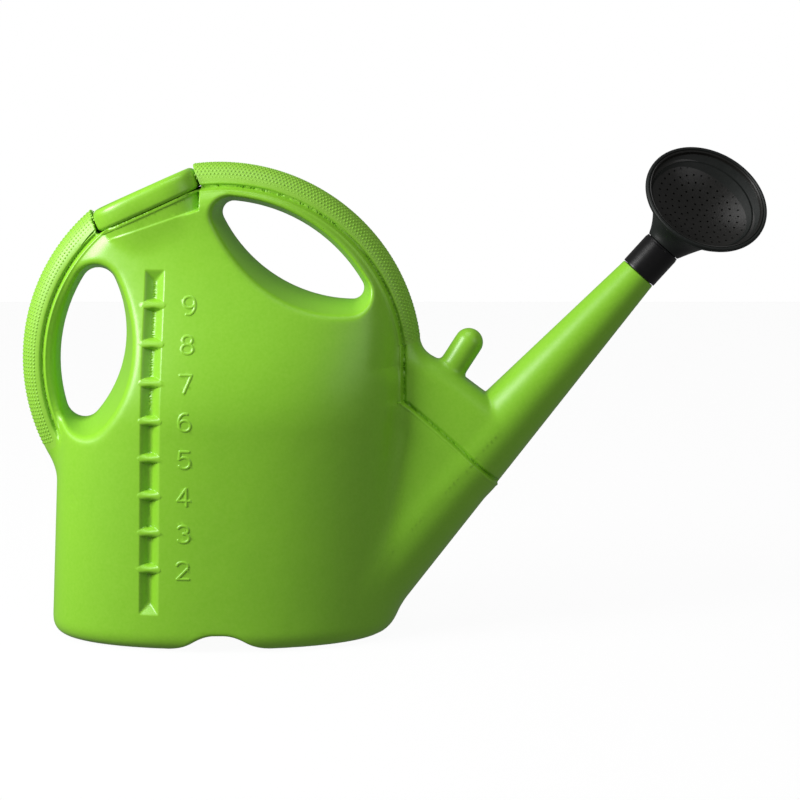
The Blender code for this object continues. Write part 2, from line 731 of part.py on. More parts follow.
def build_rose(neck):
    """Sleeve, bell and perforated face about the spout's axis."""
    bore = SPIGOT_RADIUS + SLEEVE_FIT
    sleeve = add_object("rose_sleeve", cone("rose_sleeve", SLEEVE_RADIUS, SLEEVE_RADIUS,
                        SLEEVE_LENGTH - GAP, Matrix.Translation((0, 0, GAP))), CAN)
    hollow = cutter("sleeve_bore", cone("sleeve_bore", bore, bore, 3 * SLEEVE_LENGTH,
                                        Matrix.Translation((0, 0, -SLEEVE_LENGTH))))
    combine(sleeve, hollow, "DIFFERENCE")
    hollow.parent = neck

    shares = [i / BELL_STEPS for i in range(BELL_STEPS + 1)]
    rows = [bell_row(share, 0) for share in shares[:-1]]
    bead = ROSE_RIM_BEAD
    for i in range(ROUND_STEPS + 1):
        turn = math.pi * i / ROUND_STEPS - math.pi / 2
        rows.append(rim_row(ROSE_RIM_RADIUS - bead / 2 + bead / 2 * math.cos(turn),
                            bead / 2 * math.sin(turn)))
    bell = add_object("rose_bell", loft("rose_bell", rows), CAN)
    plug_radius = bore - SLEEVE_FIT
    plug = cutter("bell_plug", cone("bell_plug", plug_radius, plug_radius, ROSE_PLUG + 2 * MM,
                  Matrix.Translation((0, 0, SLEEVE_LENGTH - ROSE_PLUG))))
    combine(bell, plug, "UNION")
    inside = [bell_row(share, ROSE_WALL) for share in shares[1:-1]]
    seat = -FACE_THICKNESS - FACE_RECESS - GAP
    mouth = ROSE_RIM_RADIUS - bead
    inside += [rim_row(mouth - FACE_LEDGE, seat), rim_row(mouth, seat), rim_row(mouth, 2 * bead)]
    space = cutter("bell_space", loft("bell_space", inside))
    combine(bell, space, "DIFFERENCE")
    inlet_radius = plug_radius - ROSE_WALL
    inlet = cutter("bell_inlet", cone("bell_inlet", inlet_radius, inlet_radius, ROSE_REACH / 2,
                   Matrix.Translation((0, 0, SLEEVE_LENGTH - 2 * ROSE_PLUG))))
    combine(bell, inlet, "DIFFERENCE")

    plate_radius = ROSE_RIM_RADIUS - bead - GAP
    low = -FACE_THICKNESS - FACE_RECESS
    face = add_object("rose_face", loft("rose_face", [rim_row(plate_radius, low),
                                                      rim_row(plate_radius, low + FACE_THICKNESS)]), CAN)
    combine(face, face_holes(plate_radius), "DIFFERENCE")
    for item, turn in ((sleeve, 0), (bell, ROSE_TURN), (face, ROSE_TURN)):
        item.parent = neck
        item.rotation_euler = (0, 0, turn)
        dress(item, GLOSS_BLACK if item == sleeve else MATT_BLACK)
    for item in (plug, space, inlet, bpy.data.objects["face_holes"]):
        item.parent = neck
        item.rotation_euler = (0, 0, ROSE_TURN)


def face_holes(plate_radius):
    """Water holes on rings about the middle of the face."""
    shape = bmesh.new()
    matrix = rose_face_matrix()
    for ring in range(FACE_RINGS + 1):
        count = max(6 * ring, 1)
        radius = plate_radius * ring / (FACE_RINGS + FACE_MARGIN)
        for i in range(count):
            turn = 2 * math.pi * i / count
            place = Vector((radius * math.cos(turn), radius * math.sin(turn), 0))
            bmesh.ops.create_cone(shape, cap_ends=True, segments=6, radius1=FACE_HOLE,
                                  radius2=FACE_HOLE, depth=ROSE_REACH / 2,
                                  matrix=matrix @ Matrix.Translation(place))
    return cutter("face_holes", mesh_from("face_holes", shape))


# ---------------------------------------------------------------- finish

def material(name, colour, roughness):
    """A plain Principled material."""
    finish = bpy.data.materials.new(name)
    finish.use_nodes = True
    shader = finish.node_tree.nodes["Principled BSDF"]
    shader.inputs["Base Color"].default_value = (*colour, 1)
    shader.inputs["Roughness"].default_value = roughness
    shader.inputs["Metallic"].default_value = 0
    return finish


def dress(item, finish):
    """Give an object its own copy of a finish and smooth round faces."""
    item.data.materials.clear()
    own = finish.copy()
    own.name = item.name + "_finish"
    item.data.materials.append(own)
    item.data.shade_smooth()
    item.data.set_sharp_from_angle(angle=math.radians(35))


def object_middle():
    """x of the middle of the whole object, from the ring to the rose's rim."""
    turned_face = Matrix.Rotation(ROSE_TURN, 3, "Z") @ Vector((math.sin(ROSE_TILT), 0,
                                                               math.cos(ROSE_TILT)))
    normal = neck_turn().to_matrix() @ turned_face
    centre = SPOUT_TIP + (SLEEVE_LENGTH + ROSE_REACH) * SPOUT_AXIS
    bead = ROSE_RIM_BEAD / 2
    spread = (ROSE_RIM_RADIUS - bead) * math.sqrt(1 - normal.x ** 2) + bead
    return (centre.x + spread - RING_RADIUS) / 2


def neck_turn():
    """Rotation of the rose's frame: Z up the spout, X square to it and up."""
    rise = Matrix.Rotation(math.pi / 2 - SPOUT_RISE, 3, "Y")
    return (rise @ Matrix.Rotation(math.pi, 3, "Z")).to_euler()


clear_scene()
CAN = make_collection("watering_can")
CUTTERS = make_collection("cutters")
GREEN = material("green", (0.30, 0.62, 0.05), 0.38)
GREEN_GRIP = material("green_grip", (0.27, 0.56, 0.06), 0.5)
GLOSS_BLACK = material("gloss_black", (0.012, 0.013, 0.012), 0.25)
MATT_BLACK = material("matt_black", (0.02, 0.023, 0.02), 0.5)

FRAME = bpy.data.objects.new("can_frame", None)
CAN.objects.link(FRAME)
NECK = bpy.data.objects.new("neck_axis", None)
CAN.objects.link(NECK)
NECK.location = SPOUT_TIP
NECK.rotation_euler = neck_turn()
NECK.parent = FRAME

build_body()
build_collar()
build_rose(NECK)
for piece in list(CAN.objects) + list(CUTTERS.objects):
    if piece != FRAME and piece.parent is None:
        piece.parent = FRAME
FRAME.location = (-object_middle(), 0, 0)
bpy.context.view_layer.update()
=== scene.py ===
"""The looks of a ten litre watering can with a ring handle and a turning rose.

The green body is drawn as one smooth field, so that tank, neck, ring, spout
and peg run into each other as a moulding does.  A skin is laid on that field,
made finer along creases and raised marks, parted along the moulded groove, and
given its wall.  The rose is turned and lofted about the spout's axis.

Sizes are millimetres in the can's own frame: x = 0 lies under the centre of
the ring handle, z = 0 is the ground and the litre scale faces -Y.
"""

import json
import logging
import math
from dataclasses import dataclass, field
from enum import Enum
from typing import Callable

import bmesh
import bpy
import numpy as np
from mathutils import Matrix, Vector

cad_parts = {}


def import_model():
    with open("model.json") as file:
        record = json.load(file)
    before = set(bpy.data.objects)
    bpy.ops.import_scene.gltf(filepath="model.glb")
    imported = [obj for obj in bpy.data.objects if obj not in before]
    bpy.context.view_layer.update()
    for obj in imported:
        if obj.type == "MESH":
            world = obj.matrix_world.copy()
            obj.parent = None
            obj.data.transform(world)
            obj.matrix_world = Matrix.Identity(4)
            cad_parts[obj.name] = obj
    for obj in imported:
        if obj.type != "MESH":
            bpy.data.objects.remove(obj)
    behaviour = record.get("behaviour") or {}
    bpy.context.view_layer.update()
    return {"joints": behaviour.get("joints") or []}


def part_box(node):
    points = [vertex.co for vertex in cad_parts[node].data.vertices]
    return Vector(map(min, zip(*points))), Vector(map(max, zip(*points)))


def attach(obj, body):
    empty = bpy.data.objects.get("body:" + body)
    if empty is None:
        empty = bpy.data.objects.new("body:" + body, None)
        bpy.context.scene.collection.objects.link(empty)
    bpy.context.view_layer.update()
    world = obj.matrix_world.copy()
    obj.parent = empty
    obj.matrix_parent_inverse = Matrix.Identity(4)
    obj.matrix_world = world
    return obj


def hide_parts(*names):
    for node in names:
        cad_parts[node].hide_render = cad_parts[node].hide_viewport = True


Array = np.ndarray
Row = list[tuple[float, float]]
LOG = logging.getLogger("watering_can")
MM = 0.001


# ---------------------------------------------------------------- where things are

@dataclass(frozen=True)
class Place:
    """The can's own frame and the spout's axis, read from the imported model."""

    tip_x: float = 330.5
    tip_z: float = 290.2
    rise: float = math.radians(48.2)
    shift: float = 0.0

    def to_world(self, points: Array) -> Array:
        """Can millimetres to world metres.

        Args:
            points: An array of x, y, z rows.

        Returns:
            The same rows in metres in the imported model's frame.
        """
        return (points + np.array((self.shift, 0.0, 0.0))) * MM

    def axis(self) -> Array:
        """Unit vector up the spout."""
        return np.array((math.cos(self.rise), 0.0, math.sin(self.rise)))

    def tip(self) -> Array:
        """The middle of the spout's shoulder."""
        return np.array((self.tip_x, 0.0, self.tip_z))


def read_place(joints: list[dict]) -> Place:
    """Find the can's frame from the hinge on which the rose turns.

    Args:
        joints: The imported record's joints.

    Returns:
        The place whose spout tip lies on that hinge.
    """
    hinge = next(joint for joint in joints if joint["name"] == "rose_turn")
    along = hinge["axis"]
    plain = Place()
    return Place(rise=math.atan2(along[2], along[0]), tip_z=hinge["pos_m"][2] / MM,
                 shift=hinge["pos_m"][0] / MM - plain.tip_x)


# ---------------------------------------------------------------- node expressions

class Wire:
    """A socket that takes part in Python arithmetic by adding Math nodes."""

    def __init__(self, graph: "Graph", socket: bpy.types.NodeSocket) -> None:
        """Keep the socket and the graph that it belongs to."""
        self.graph = graph
        self.socket = socket

    def math(self, operation: str, *others: "Wire | float") -> "Wire":
        """One Math node on this value and the others."""
        return self.graph.math(operation, self, *others)

    def __add__(self, other: "Wire | float") -> "Wire":
        """Sum."""
        return self.math("ADD", other)

    __radd__ = __add__

    def __mul__(self, other: "Wire | float") -> "Wire":
        """Product."""
        return self.math("MULTIPLY", other)

    def __sub__(self, other: "Wire | float") -> "Wire":
        """Difference."""
        return self.math("SUBTRACT", other)

    def __truediv__(self, other: "Wire | float") -> "Wire":
        """Quotient."""
        return self.math("DIVIDE", other)

    def __mod__(self, other: "Wire | float") -> "Wire":
        """Remainder."""
        return self.math("MODULO", other)


class Graph:
    """A node tree of any kind, filled by one method."""

    def __init__(self, tree: bpy.types.NodeTree, prefix: str) -> None:
        """Empty the tree and keep the prefix of its own kind of node."""
        self.tree = tree
        self.prefix = prefix
        tree.nodes.clear()

    def node(self, kind: str, settings: dict | None = None,
             sockets: dict | None = None) -> bpy.types.Node:
        """Add a node.

        Args:
            kind: The node's type without its prefix, or the whole type name.
            settings: Attributes that are set before the sockets.
            sockets: Values or wires for the inputs, by name or number.

        Returns:
            The new node.
        """
        name = kind if "Node" in kind else self.prefix + kind
        node = self.tree.nodes.new(name)
        for key, value in (settings or {}).items():
            setattr(node, key, value)
        for key, value in (sockets or {}).items():
            target = node.inputs[key]
            if isinstance(value, Wire):
                self.tree.links.new(value.socket, target)
            else:
                target.default_value = value
        return node

    def wire(self, node: bpy.types.Node, output: str | int = 0) -> Wire:
        """A node's output as a wire."""
        return Wire(self, node.outputs[output])

    def math(self, operation: str, *values: "Wire | float") -> Wire:
        """A Math node of the given operation."""
        sockets = dict(enumerate(values))
        return self.wire(self.node("ShaderNodeMath", {"operation": operation}, sockets))

    def vector(self, operation: str, *values: "Wire | tuple") -> Wire:
        """A Vector Math node of the given operation."""
        sockets = dict(enumerate(values))
        return self.wire(self.node("ShaderNodeVectorMath", {"operation": operation}, sockets))


# ---------------------------------------------------------------- finishes

@dataclass(frozen=True)
class Plastic:
    """A moulded plastic: colour, how it varies, gloss and surface grain."""

    name: str
    base: tuple[float, float, float]
    shade: tuple[float, float, float]
    tint: tuple[float, float, float]
    roughness: float
    spread: float
    coat: float
    grain_size: float
    grain_depth: float
    ripple_size: float
    ripple_depth: float
    specular: float = 0.5
    cloud_scale: float = 14.0
    fleck_scale: float = 420.0
    coat_roughness: float = 0.25
    grain_reach: float = 0.0002
    ripple_reach: float = 0.002

    def make(self) -> bpy.types.Material:
        """Build the material's nodes.

        Returns:
            A material that reads Object coordinates only.
        """
        material = bpy.data.materials.new(self.name)
        material.use_nodes = True
        graph = Graph(material.node_tree, "ShaderNode")
        place = graph.wire(graph.node("TexCoord"), "Object")
        cloud = self.noise(graph, place, self.cloud_scale, 3.0)
        fleck = self.noise(graph, place, self.fleck_scale, 2.0)
        broad = graph.node("Mix", {"data_type": "RGBA"},
                           {"Factor": cloud, 6: (*self.base, 1), 7: (*self.shade, 1)})
        fine = fleck.math("MULTIPLY_ADD", 0.5, -0.1).math("MAXIMUM", 0.0)
        colour = graph.node("Mix", {"data_type": "RGBA"},
                            {"Factor": fine, 6: graph.wire(broad, 2), 7: (*self.tint, 1)})
        rough = self.roughness + (cloud - 0.5) * self.spread + (fleck - 0.5) * (self.spread * 0.5)
        shader = graph.node("BsdfPrincipled", {}, {
            "Base Color": graph.wire(colour, 2), "Roughness": rough,
            "Normal": self.bump(graph, place)})
        shader.inputs["Specular IOR Level"].default_value = self.specular
        shader.inputs["Coat Weight"].default_value = self.coat
        shader.inputs["Coat Roughness"].default_value = self.coat_roughness
        graph.node("OutputMaterial", {}, {"Surface": graph.wire(shader)})
        return material

    def noise(self, graph: Graph, place: Wire, scale: float, detail: float) -> Wire:
        """Soft noise over the piece, from 0 to 1."""
        return graph.wire(graph.node("TexNoise", {}, {
            "Vector": place, "Scale": scale, "Detail": detail, "Roughness": 0.55}))

    def bump(self, graph: Graph, place: Wire) -> Wire:
        """Fine grain over a slow ripple, as the mould leaves them.

        Args:
            graph: The material's graph.
            place: Object coordinates.

        Returns:
            The bent normal.
        """
        grain = self.noise(graph, place, self.grain_size, 2.0)
        ripple = self.noise(graph, place, self.ripple_size, 1.0)
        first = graph.node("Bump", {}, {"Height": grain, "Strength": self.grain_depth,
                                        "Distance": self.grain_reach})
        second = graph.node("Bump", {}, {"Height": ripple, "Strength": self.ripple_depth,
                                         "Distance": self.ripple_reach,
                                         "Normal": graph.wire(first)})
        return graph.wire(second)


class Finish(Enum):
    """The finishes of this object."""

    GREEN = Plastic("green_polyethylene", (0.235, 0.560, 0.022), (0.205, 0.515, 0.018),
                    (0.330, 0.640, 0.060), 0.36, 0.10, 0.10, 2400.0, 0.18, 55.0, 0.10)
    GRIP = Plastic("green_grip", (0.255, 0.550, 0.036), (0.220, 0.500, 0.030),
                   (0.350, 0.640, 0.080), 0.44, 0.10, 0.0, 2400.0, 0.25, 60.0, 0.10)
    GLOSS = Plastic("gloss_black", (0.004, 0.004, 0.005), (0.003, 0.003, 0.003),
                    (0.012, 0.011, 0.011), 0.33, 0.08, 0.0, 2200.0, 0.12, 160.0, 0.05, 0.3)
    BELL = Plastic("matt_black_bell", (0.006, 0.008, 0.007), (0.004, 0.006, 0.005),
                   (0.018, 0.020, 0.018), 0.48, 0.10, 0.0, 1800.0, 0.35, 120.0, 0.08, 0.3)
    FACE = Plastic("matt_black_face", (0.008, 0.008, 0.007), (0.005, 0.005, 0.004),
                   (0.030, 0.028, 0.026), 0.33, 0.08, 0.0, 1500.0, 0.35, 90.0, 0.06, 0.42)


# ---------------------------------------------------------------- soft solids

def soft_union(first: Array, second: Array, blend: float) -> Array:
    """Join two fields with a fillet."""
    gap = np.maximum(blend - np.abs(first - second), 0) / blend
    return np.minimum(first, second) - gap * gap * blend / 4


def soft_cross(first: Array, second: Array, blend: float) -> Array:
    """What two fields share, with a rounded edge."""
    return -soft_union(-first, -second, blend)


def soft_cut(first: Array, second: Array, blend: float) -> Array:
    """The first field less the second, with a rounded edge."""
    return -soft_union(-first, second, blend)


def ease(value: Array) -> Array:
    """Ease from 0 to 1."""
    value = np.clip(value, 0, 1)
    return value * value * (3 - 2 * value)


def bump_of(distance: Array, width: float) -> Array:
    """A smooth hump that is 1 at distance 0."""
    return np.exp(-(distance / width) ** 2)


def oval_distance(u: Array, v: Array, half_u: Array | float, half_v: Array | float,
                  fullness: float, sloping: Array | float = 0.0) -> Array:
    """Distance to a rounded oval, close to exact near its edge.

    Args:
        u: Place along the oval.
        v: Place across it.
        half_u: Half its length.
        half_v: Half its width.
        fullness: Its exponent; 2 is an ellipse.
        sloping: How fast half_v grows along the oval's own axis.

    Returns:
        Distance, negative inside.
    """
    su = np.abs(u) / half_u
    sv = np.abs(v) / half_v
    reach = np.maximum((su ** fullness + sv ** fullness) ** (1 / fullness), 0.05)
    lift = reach ** (1 - fullness)
    across = sv ** (fullness - 1) / half_v
    slope = lift * np.sqrt((su ** (fullness - 1) / half_u) ** 2 + across ** 2
                           + (across * sv * sloping) ** 2)
    return (reach - 1) / np.maximum(slope, 1e-5)


@dataclass(frozen=True)
class Lens:
    """The overlap of two circles with rounded tips, in the XZ plane."""

    first: tuple[float, float]
    first_radius: float
    second: tuple[float, float]
    second_radius: float
    tip: float

    def corners(self) -> list[Array]:
        """Where the two shrunk circles cross."""
        start = np.array(self.first)
        gap = np.array(self.second) - start
        spread = float(np.hypot(*gap))
        near = self.first_radius - self.tip
        far = self.second_radius - self.tip
        along = (near ** 2 - far ** 2 + spread ** 2) / (2 * spread)
        across = math.sqrt(near ** 2 - along ** 2)
        forward = gap / spread
        left = np.array((-forward[1], forward[0]))
        return [start + along * forward + side * across * left for side in (-1, 1)]

    def distance(self, x: Array, z: Array) -> Array:
        """Distance to the outline, negative inside.

        Args:
            x: Places along X.
            z: Places along Z.

        Returns:
            One distance for each place.
        """
        pair = ((self.first, self.first_radius, self.second, self.second_radius),
                (self.second, self.second_radius, self.first, self.first_radius))
        depths = []
        outside = np.full(x.shape, np.inf)
        for centre, radius, other, other_radius in pair:
            span = np.maximum(np.hypot(x - centre[0], z - centre[1]), 1e-6)
            shrunk = radius - self.tip
            foot_x = centre[0] + (x - centre[0]) * shrunk / span
            foot_z = centre[1] + (z - centre[1]) * shrunk / span
            facing = np.hypot(foot_x - other[0], foot_z - other[1]) <= other_radius - self.tip
            depth = span - shrunk
            depths.append(depth)
            outside = np.where(facing & (depth > 0), np.minimum(outside, depth), outside)
        for corner in self.corners():
            reach = np.hypot(x - corner[0], z - corner[1])
            outside = np.minimum(outside, reach)
        inside = np.maximum(depths[0], depths[1])
        return np.where(inside < 0, inside, outside) - self.tip


# ---------------------------------------------------------------- skin on a field

@dataclass
class Skin:
    """A triangle mesh that lies on the zero level of a field."""

    solid: Callable[[Array], Array]
    probe: float = 0.12
    points: Array = field(default_factory=lambda: np.zeros((0, 3)))
    faces: Array = field(default_factory=lambda: np.zeros((0, 3), int))

    def lay(self, low: tuple, high: tuple, step: float) -> None:
        """Wrap the field with one point in each cell that the surface crosses.

        Args:
            low: Lowest corner of the space to search.
            high: Highest corner.
            step: Size of a cell.
        """
        ticks = [np.arange(a, b + step, step) for a, b in zip(low, high)]
        shape = tuple(len(line) for line in ticks)
        grid = np.stack(np.meshgrid(*ticks, indexing="ij"), -1).reshape(-1, 3)
        values = self.solid(grid).reshape(shape)
        total = np.zeros(shape + (3,))
        count = np.zeros(shape, int)
        quads = []
        for axis in range(3):
            quads.append(self.cross(values, grid.reshape(shape + (3,)), axis, step, total, count))
        used = count > 0
        number = np.full(shape, -1)
        number[used] = np.arange(used.sum())
        self.points = total[used] / count[used][:, None]
        corners = np.concatenate(quads)
        faces = number[corners[..., 0], corners[..., 1], corners[..., 2]]
        self.faces = np.concatenate([faces[:, [0, 1, 2]], faces[:, [0, 2, 3]]])

    def cross(self, values: Array, grid: Array, axis: int, step: float,
              total: Array, count: Array) -> Array:
        """Handle the grid edges along one axis.

        Args:
            values: The field on the grid.
            grid: The grid's points.
            axis: The direction of the edges.
            step: Size of a cell.
            total: Sum of crossing points for each cell, added to here.
            count: Number of crossings for each cell, added to here.

        Returns:
            The four cells round each crossed edge, in order about its face.
        """
        after = np.roll(values, -1, axis)
        crossed = (values < 0) != (after < 0)
        edge = [slice(None)] * 3
        edge[axis] = -1
        crossed[tuple(edge)] = False
        spots = np.argwhere(crossed)
        here = values[crossed]
        share = here / (here - after[crossed])
        places = grid[crossed].copy()
        places[:, axis] += share * step
        second, third = (axis + 1) % 3, (axis + 2) % 3
        ring = []
        for down, back in ((1, 1), (0, 1), (0, 0), (1, 0)):
            cell = spots.copy()
            cell[:, second] -= down
            cell[:, third] -= back
            np.add.at(total, tuple(cell.T), places)
            np.add.at(count, tuple(cell.T), 1)
            ring.append(cell)
        flip = here > 0
        quad = np.stack(ring, 1)
        quad[flip] = quad[flip][:, ::-1]
        return quad

    def slope(self, points: Array) -> tuple[Array, Array]:
        """The field and its slope.

        Args:
            points: Where to look.

        Returns:
            Values and gradient rows.
        """
        small = self.probe
        count = len(points)
        shifts = np.concatenate([np.eye(3), -np.eye(3)]) * small
        batch = np.concatenate([points] + [points + shift for shift in shifts])
        values = self.solid(batch).reshape(7, count)
        slope = (values[1:4] - values[4:7]).T / (2 * small)
        return values[0], slope

    def normals(self) -> Array:
        """Outward unit normals at the points."""
        slope = self.slope(self.points)[1]
        return slope / np.maximum(np.linalg.norm(slope, axis=1), 1e-9)[:, None]

    def settle(self, turns: int = 3, reach: float = 2.0) -> None:
        """Move the points onto the surface.

        Args:
            turns: How many times to repeat.
            reach: The longest step that a point may take.
        """
        for _ in range(turns):
            value, slope = self.slope(self.points)
            push = value / np.maximum((slope ** 2).sum(1), 0.05)
            move = push[:, None] * slope
            length = np.maximum(np.linalg.norm(move, axis=1), 1e-9)
            self.points = self.points - move * np.minimum(1, reach / length)[:, None]

    def even_out(self, turns: int) -> None:
        """Slide the points towards the middle of their neighbours.

        Args:
            turns: How many times to repeat.
        """
        links = np.concatenate([self.faces[:, [0, 1]], self.faces[:, [1, 2]],
                                self.faces[:, [2, 0]]])
        count = len(self.points)
        number = np.bincount(links[:, 0], minlength=count)
        number = np.maximum(number, 1)
        for _ in range(turns):
            sums = [np.bincount(links[:, 0], self.points[links[:, 1], axis], count)
                    for axis in range(3)]
            middle = np.stack(sums, 1) / number[:, None]
            self.points = self.points + 0.6 * (middle - self.points)
            self.settle(2)

    def edges(self) -> tuple[Array, Array]:
        """Unique edges, and the number of each face's three edges."""
        sides = np.stack([self.faces, np.roll(self.faces, -1, 1)], -1)
        order = np.sort(sides.reshape(-1, 2), 1)
        unique, number = np.unique(order, axis=0, return_inverse=True)
        return unique, number.reshape(-1, 3)

    def refine(self, bend: float, shortest: float, marked: Callable[[Array], Array]) -> None:
        """Halve the edges that bend or lie where the mark is.

        Args:
            bend: Degrees between the normals at an edge's ends.
            shortest: No edge shorter than this is halved.
            marked: Says, for each middle, the edge length wanted there.
        """
        normal = self.normals()
        pairs, number = self.edges()
        first, second = pairs.T
        length = np.linalg.norm(self.points[first] - self.points[second], axis=1)
        turn = (normal[first] * normal[second]).sum(1)
        middle = (self.points[first] + self.points[second]) / 2
        split = (turn < math.cos(math.radians(bend))) & (length > shortest)
        split |= length > marked(middle)
        fresh = np.full(len(pairs), -1)
        fresh[split] = len(self.points) + np.arange(split.sum())
        self.points = np.concatenate([self.points, middle[split]])
        self.faces = divide(self.faces, fresh[number])
        self.settle(4, 1.0)

    def part(self, side: Array) -> tuple[Array, Array]:
        """Cut the faces along the zero level of a value at the points.

        Args:
            side: One value for each point.

        Returns:
            Faces on the negative side, and faces on the positive side.
        """
        pairs, number = self.edges()
        first, second = pairs.T
        low = side < 0
        crossed = low[first] != low[second]
        share = side[first] / np.where(crossed, side[first] - side[second], 1)
        fresh = np.full(len(pairs), -1)
        fresh[crossed] = len(self.points) + np.arange(crossed.sum())
        cut = self.points[first] + share[:, None] * (self.points[second] - self.points[first])
        self.points = np.concatenate([self.points, cut[crossed]])
        inner = low[self.faces]
        whole = inner.all(1) | (~inner).all(1)
        near = [self.faces[inner.all(1)]]
        far = [self.faces[(~inner).all(1)]]
        for corner in range(3):
            order = [corner, (corner + 1) % 3, (corner + 2) % 3]
            alone = inner[:, order[0]] != inner[:, order[1]]
            alone &= inner[:, order[1]] == inner[:, order[2]]
            alone &= ~whole
            a, b, c = self.faces[alone][:, order].T
            out = fresh[number[alone][:, order[0]]]
            back = fresh[number[alone][:, order[2]]]
            apex = np.stack([a, out, back], 1)
            rest = np.concatenate([np.stack([out, b, c], 1), np.stack([out, c, back], 1)])
            is_low = inner[alone][:, order[0]]
            twice = np.concatenate([is_low, is_low])
            near += [apex[is_low], rest[~twice]]
            far += [apex[~is_low], rest[twice]]
        return np.concatenate(near), np.concatenate(far)


def divide(faces: Array, middles: Array) -> Array:
    """Split triangles whose edges have a new middle point.

    Args:
        faces: Triangles.
        middles: The middle of each side, or -1.

    Returns:
        The new triangles.
    """
    has = middles >= 0
    total = has.sum(1)
    result = [faces[total == 0]]
    for corner in range(3):
        order = [corner, (corner + 1) % 3, (corner + 2) % 3]
        one = (total == 1) & has[:, corner]
        a, b, c = faces[one][:, order].T
        m = middles[one][:, corner]
        result += [np.stack([a, m, c], 1), np.stack([m, b, c], 1)]
        two = (total == 2) & ~has[:, order[2]]
        a, b, c = faces[two][:, order].T
        m = middles[two][:, order[0]]
        n = middles[two][:, order[1]]
        result += [np.stack([m, b, n], 1), np.stack([a, m, n], 1), np.stack([a, n, c], 1)]
    a, b, c = faces[total == 3].T
    ab, bc, ca = middles[total == 3].T
    result += [np.stack(row, 1) for row in ((a, ab, ca), (ab, b, bc), (ca, bc, c), (ab, bc, ca))]
    return np.concatenate(result)


def thicken(points: Array, faces: Array, normals: Array, wall: float) -> tuple[Array, Array]:
    """Give a skin its wall and close its edges.

    Args:
        points: All points.
        faces: The skin's triangles.
        normals: Outward normals.
        wall: Thickness, laid inwards.

    Returns:
        Points and triangles of one closed shell.
    """
    used, flat = np.unique(faces, return_inverse=True)
    faces = flat.reshape(faces.shape)
    outer = points[used]
    count = len(outer)
    inner = outer - wall * normals[used]
    sides = np.concatenate([faces[:, [0, 1]], faces[:, [1, 2]], faces[:, [2, 0]]])
    key = sides[:, 0] * count + sides[:, 1]
    back = sides[:, 1] * count + sides[:, 0]
    rim = sides[~np.isin(key, back)]
    a, b = rim.T
    walls = [np.stack([b, a, a + count], 1), np.stack([b, a + count, b + count], 1)]
    return np.concatenate([outer, inner]), np.concatenate([faces, faces[:, ::-1] + count] + walls)


# ---------------------------------------------------------------- plain mesh work

def new_piece(name: str, mesh: bpy.types.Mesh, finish: bpy.types.Material,
              angle: float = 38.0) -> bpy.types.Object:
    """Make an object of a mesh, shaded smooth.

    Args:
        name: The piece's name.
        mesh: Its mesh, in world metres.
        finish: Its material.
        angle: Edges sharper than this stay sharp.

    Returns:
        The object.
    """
    mesh.materials.clear()
    mesh.materials.append(finish)
    mesh.shade_smooth()
    mesh.set_sharp_from_angle(angle=math.radians(angle))
    return add_object(name, mesh)


def mesh_of(name: str, points: Array, faces: Array | list) -> bpy.types.Mesh:
    """Mesh data from points in metres and faces."""
    mesh = bpy.data.meshes.new(name)
    mesh.from_pydata(np.asarray(points).tolist(), [], np.asarray(faces).tolist())
    mesh.validate()
    return mesh


def loft(name: str, rows: list[Array], place: Callable[[Array], Array]) -> bpy.types.Mesh:
    """A closed ring of a surface through outlines with the same number of points.

    Args:
        name: The mesh's name.
        rows: Outlines in can millimetres.
        place: Turns them into world metres.

    Returns:
        A closed mesh with outward faces.
    """
    shape = bmesh.new()
    verts = [[shape.verts.new(p) for p in place(np.asarray(row))] for row in rows]
    for low, high in zip(verts, verts[1:] + verts[:1]):
        join_rows(shape, low, high)
    return finish_shape(name, shape)


def join_rows(shape: bmesh.types.BMesh, low: list, high: list) -> None:
    """Lay a band of quads between two closed rows of points."""
    for i in range(len(low)):
        j = (i + 1) % len(low)
        shape.faces.new((low[i], low[j], high[j], high[i]))


def finish_shape(name: str, shape: bmesh.types.BMesh) -> bpy.types.Mesh:
    """Turn a shape's faces outward and keep it as a mesh."""
    bmesh.ops.recalc_face_normals(shape, faces=shape.faces)
    mesh = bpy.data.meshes.new(name)
    shape.to_mesh(mesh)
    shape.free()
    return mesh


def add_object(name: str, data: bpy.types.ID | None) -> bpy.types.Object:
    """A new object in the scene."""
    item = bpy.data.objects.new(name, data)
    bpy.context.scene.collection.objects.link(item)
    return item


def bend_profile(corners: Row, steps: int = 5) -> Row:
    """Round the corners of a closed profile.

    Args:
        corners: Rows of radius, height and, where a corner is round, its size.
        steps: Points on each round corner.

    Returns:
        The profile's points.
    """
    points = []
    count = len(corners)
    for i, corner in enumerate(corners):
        here = np.array(corner[:2], float)
        size = corner[2] if len(corner) > 2 else 0.0
        if not size:
            points.append(tuple(here))
            continue
        before = np.array(corners[i - 1][:2], float)
        after = np.array(corners[(i + 1) % count][:2], float)
        start = here + (before - here) * min(size / np.linalg.norm(before - here), 0.5)
        stop = here + (after - here) * min(size / np.linalg.norm(after - here), 0.5)
        for k in range(steps + 1):
            t = k / steps
            points.append(tuple((1 - t) ** 2 * start + 2 * t * (1 - t) * here + t * t * stop))
    return points


def turned_rows(profile: Row, matrix: Matrix, sides: int) -> list[Array]:
    """A profile of radius and height turned about a frame's Z."""
    turn = np.arange(sides) * 2 * math.pi / sides
    rows = []
    for radius, height in profile:
        flat = np.stack([radius * np.cos(turn), radius * np.sin(turn),
                         np.full(sides, height), np.ones(sides)])
        rows.append((np.array(matrix) @ flat)[:3].T)
    return rows


# ---------------------------------------------------------------- litre scale

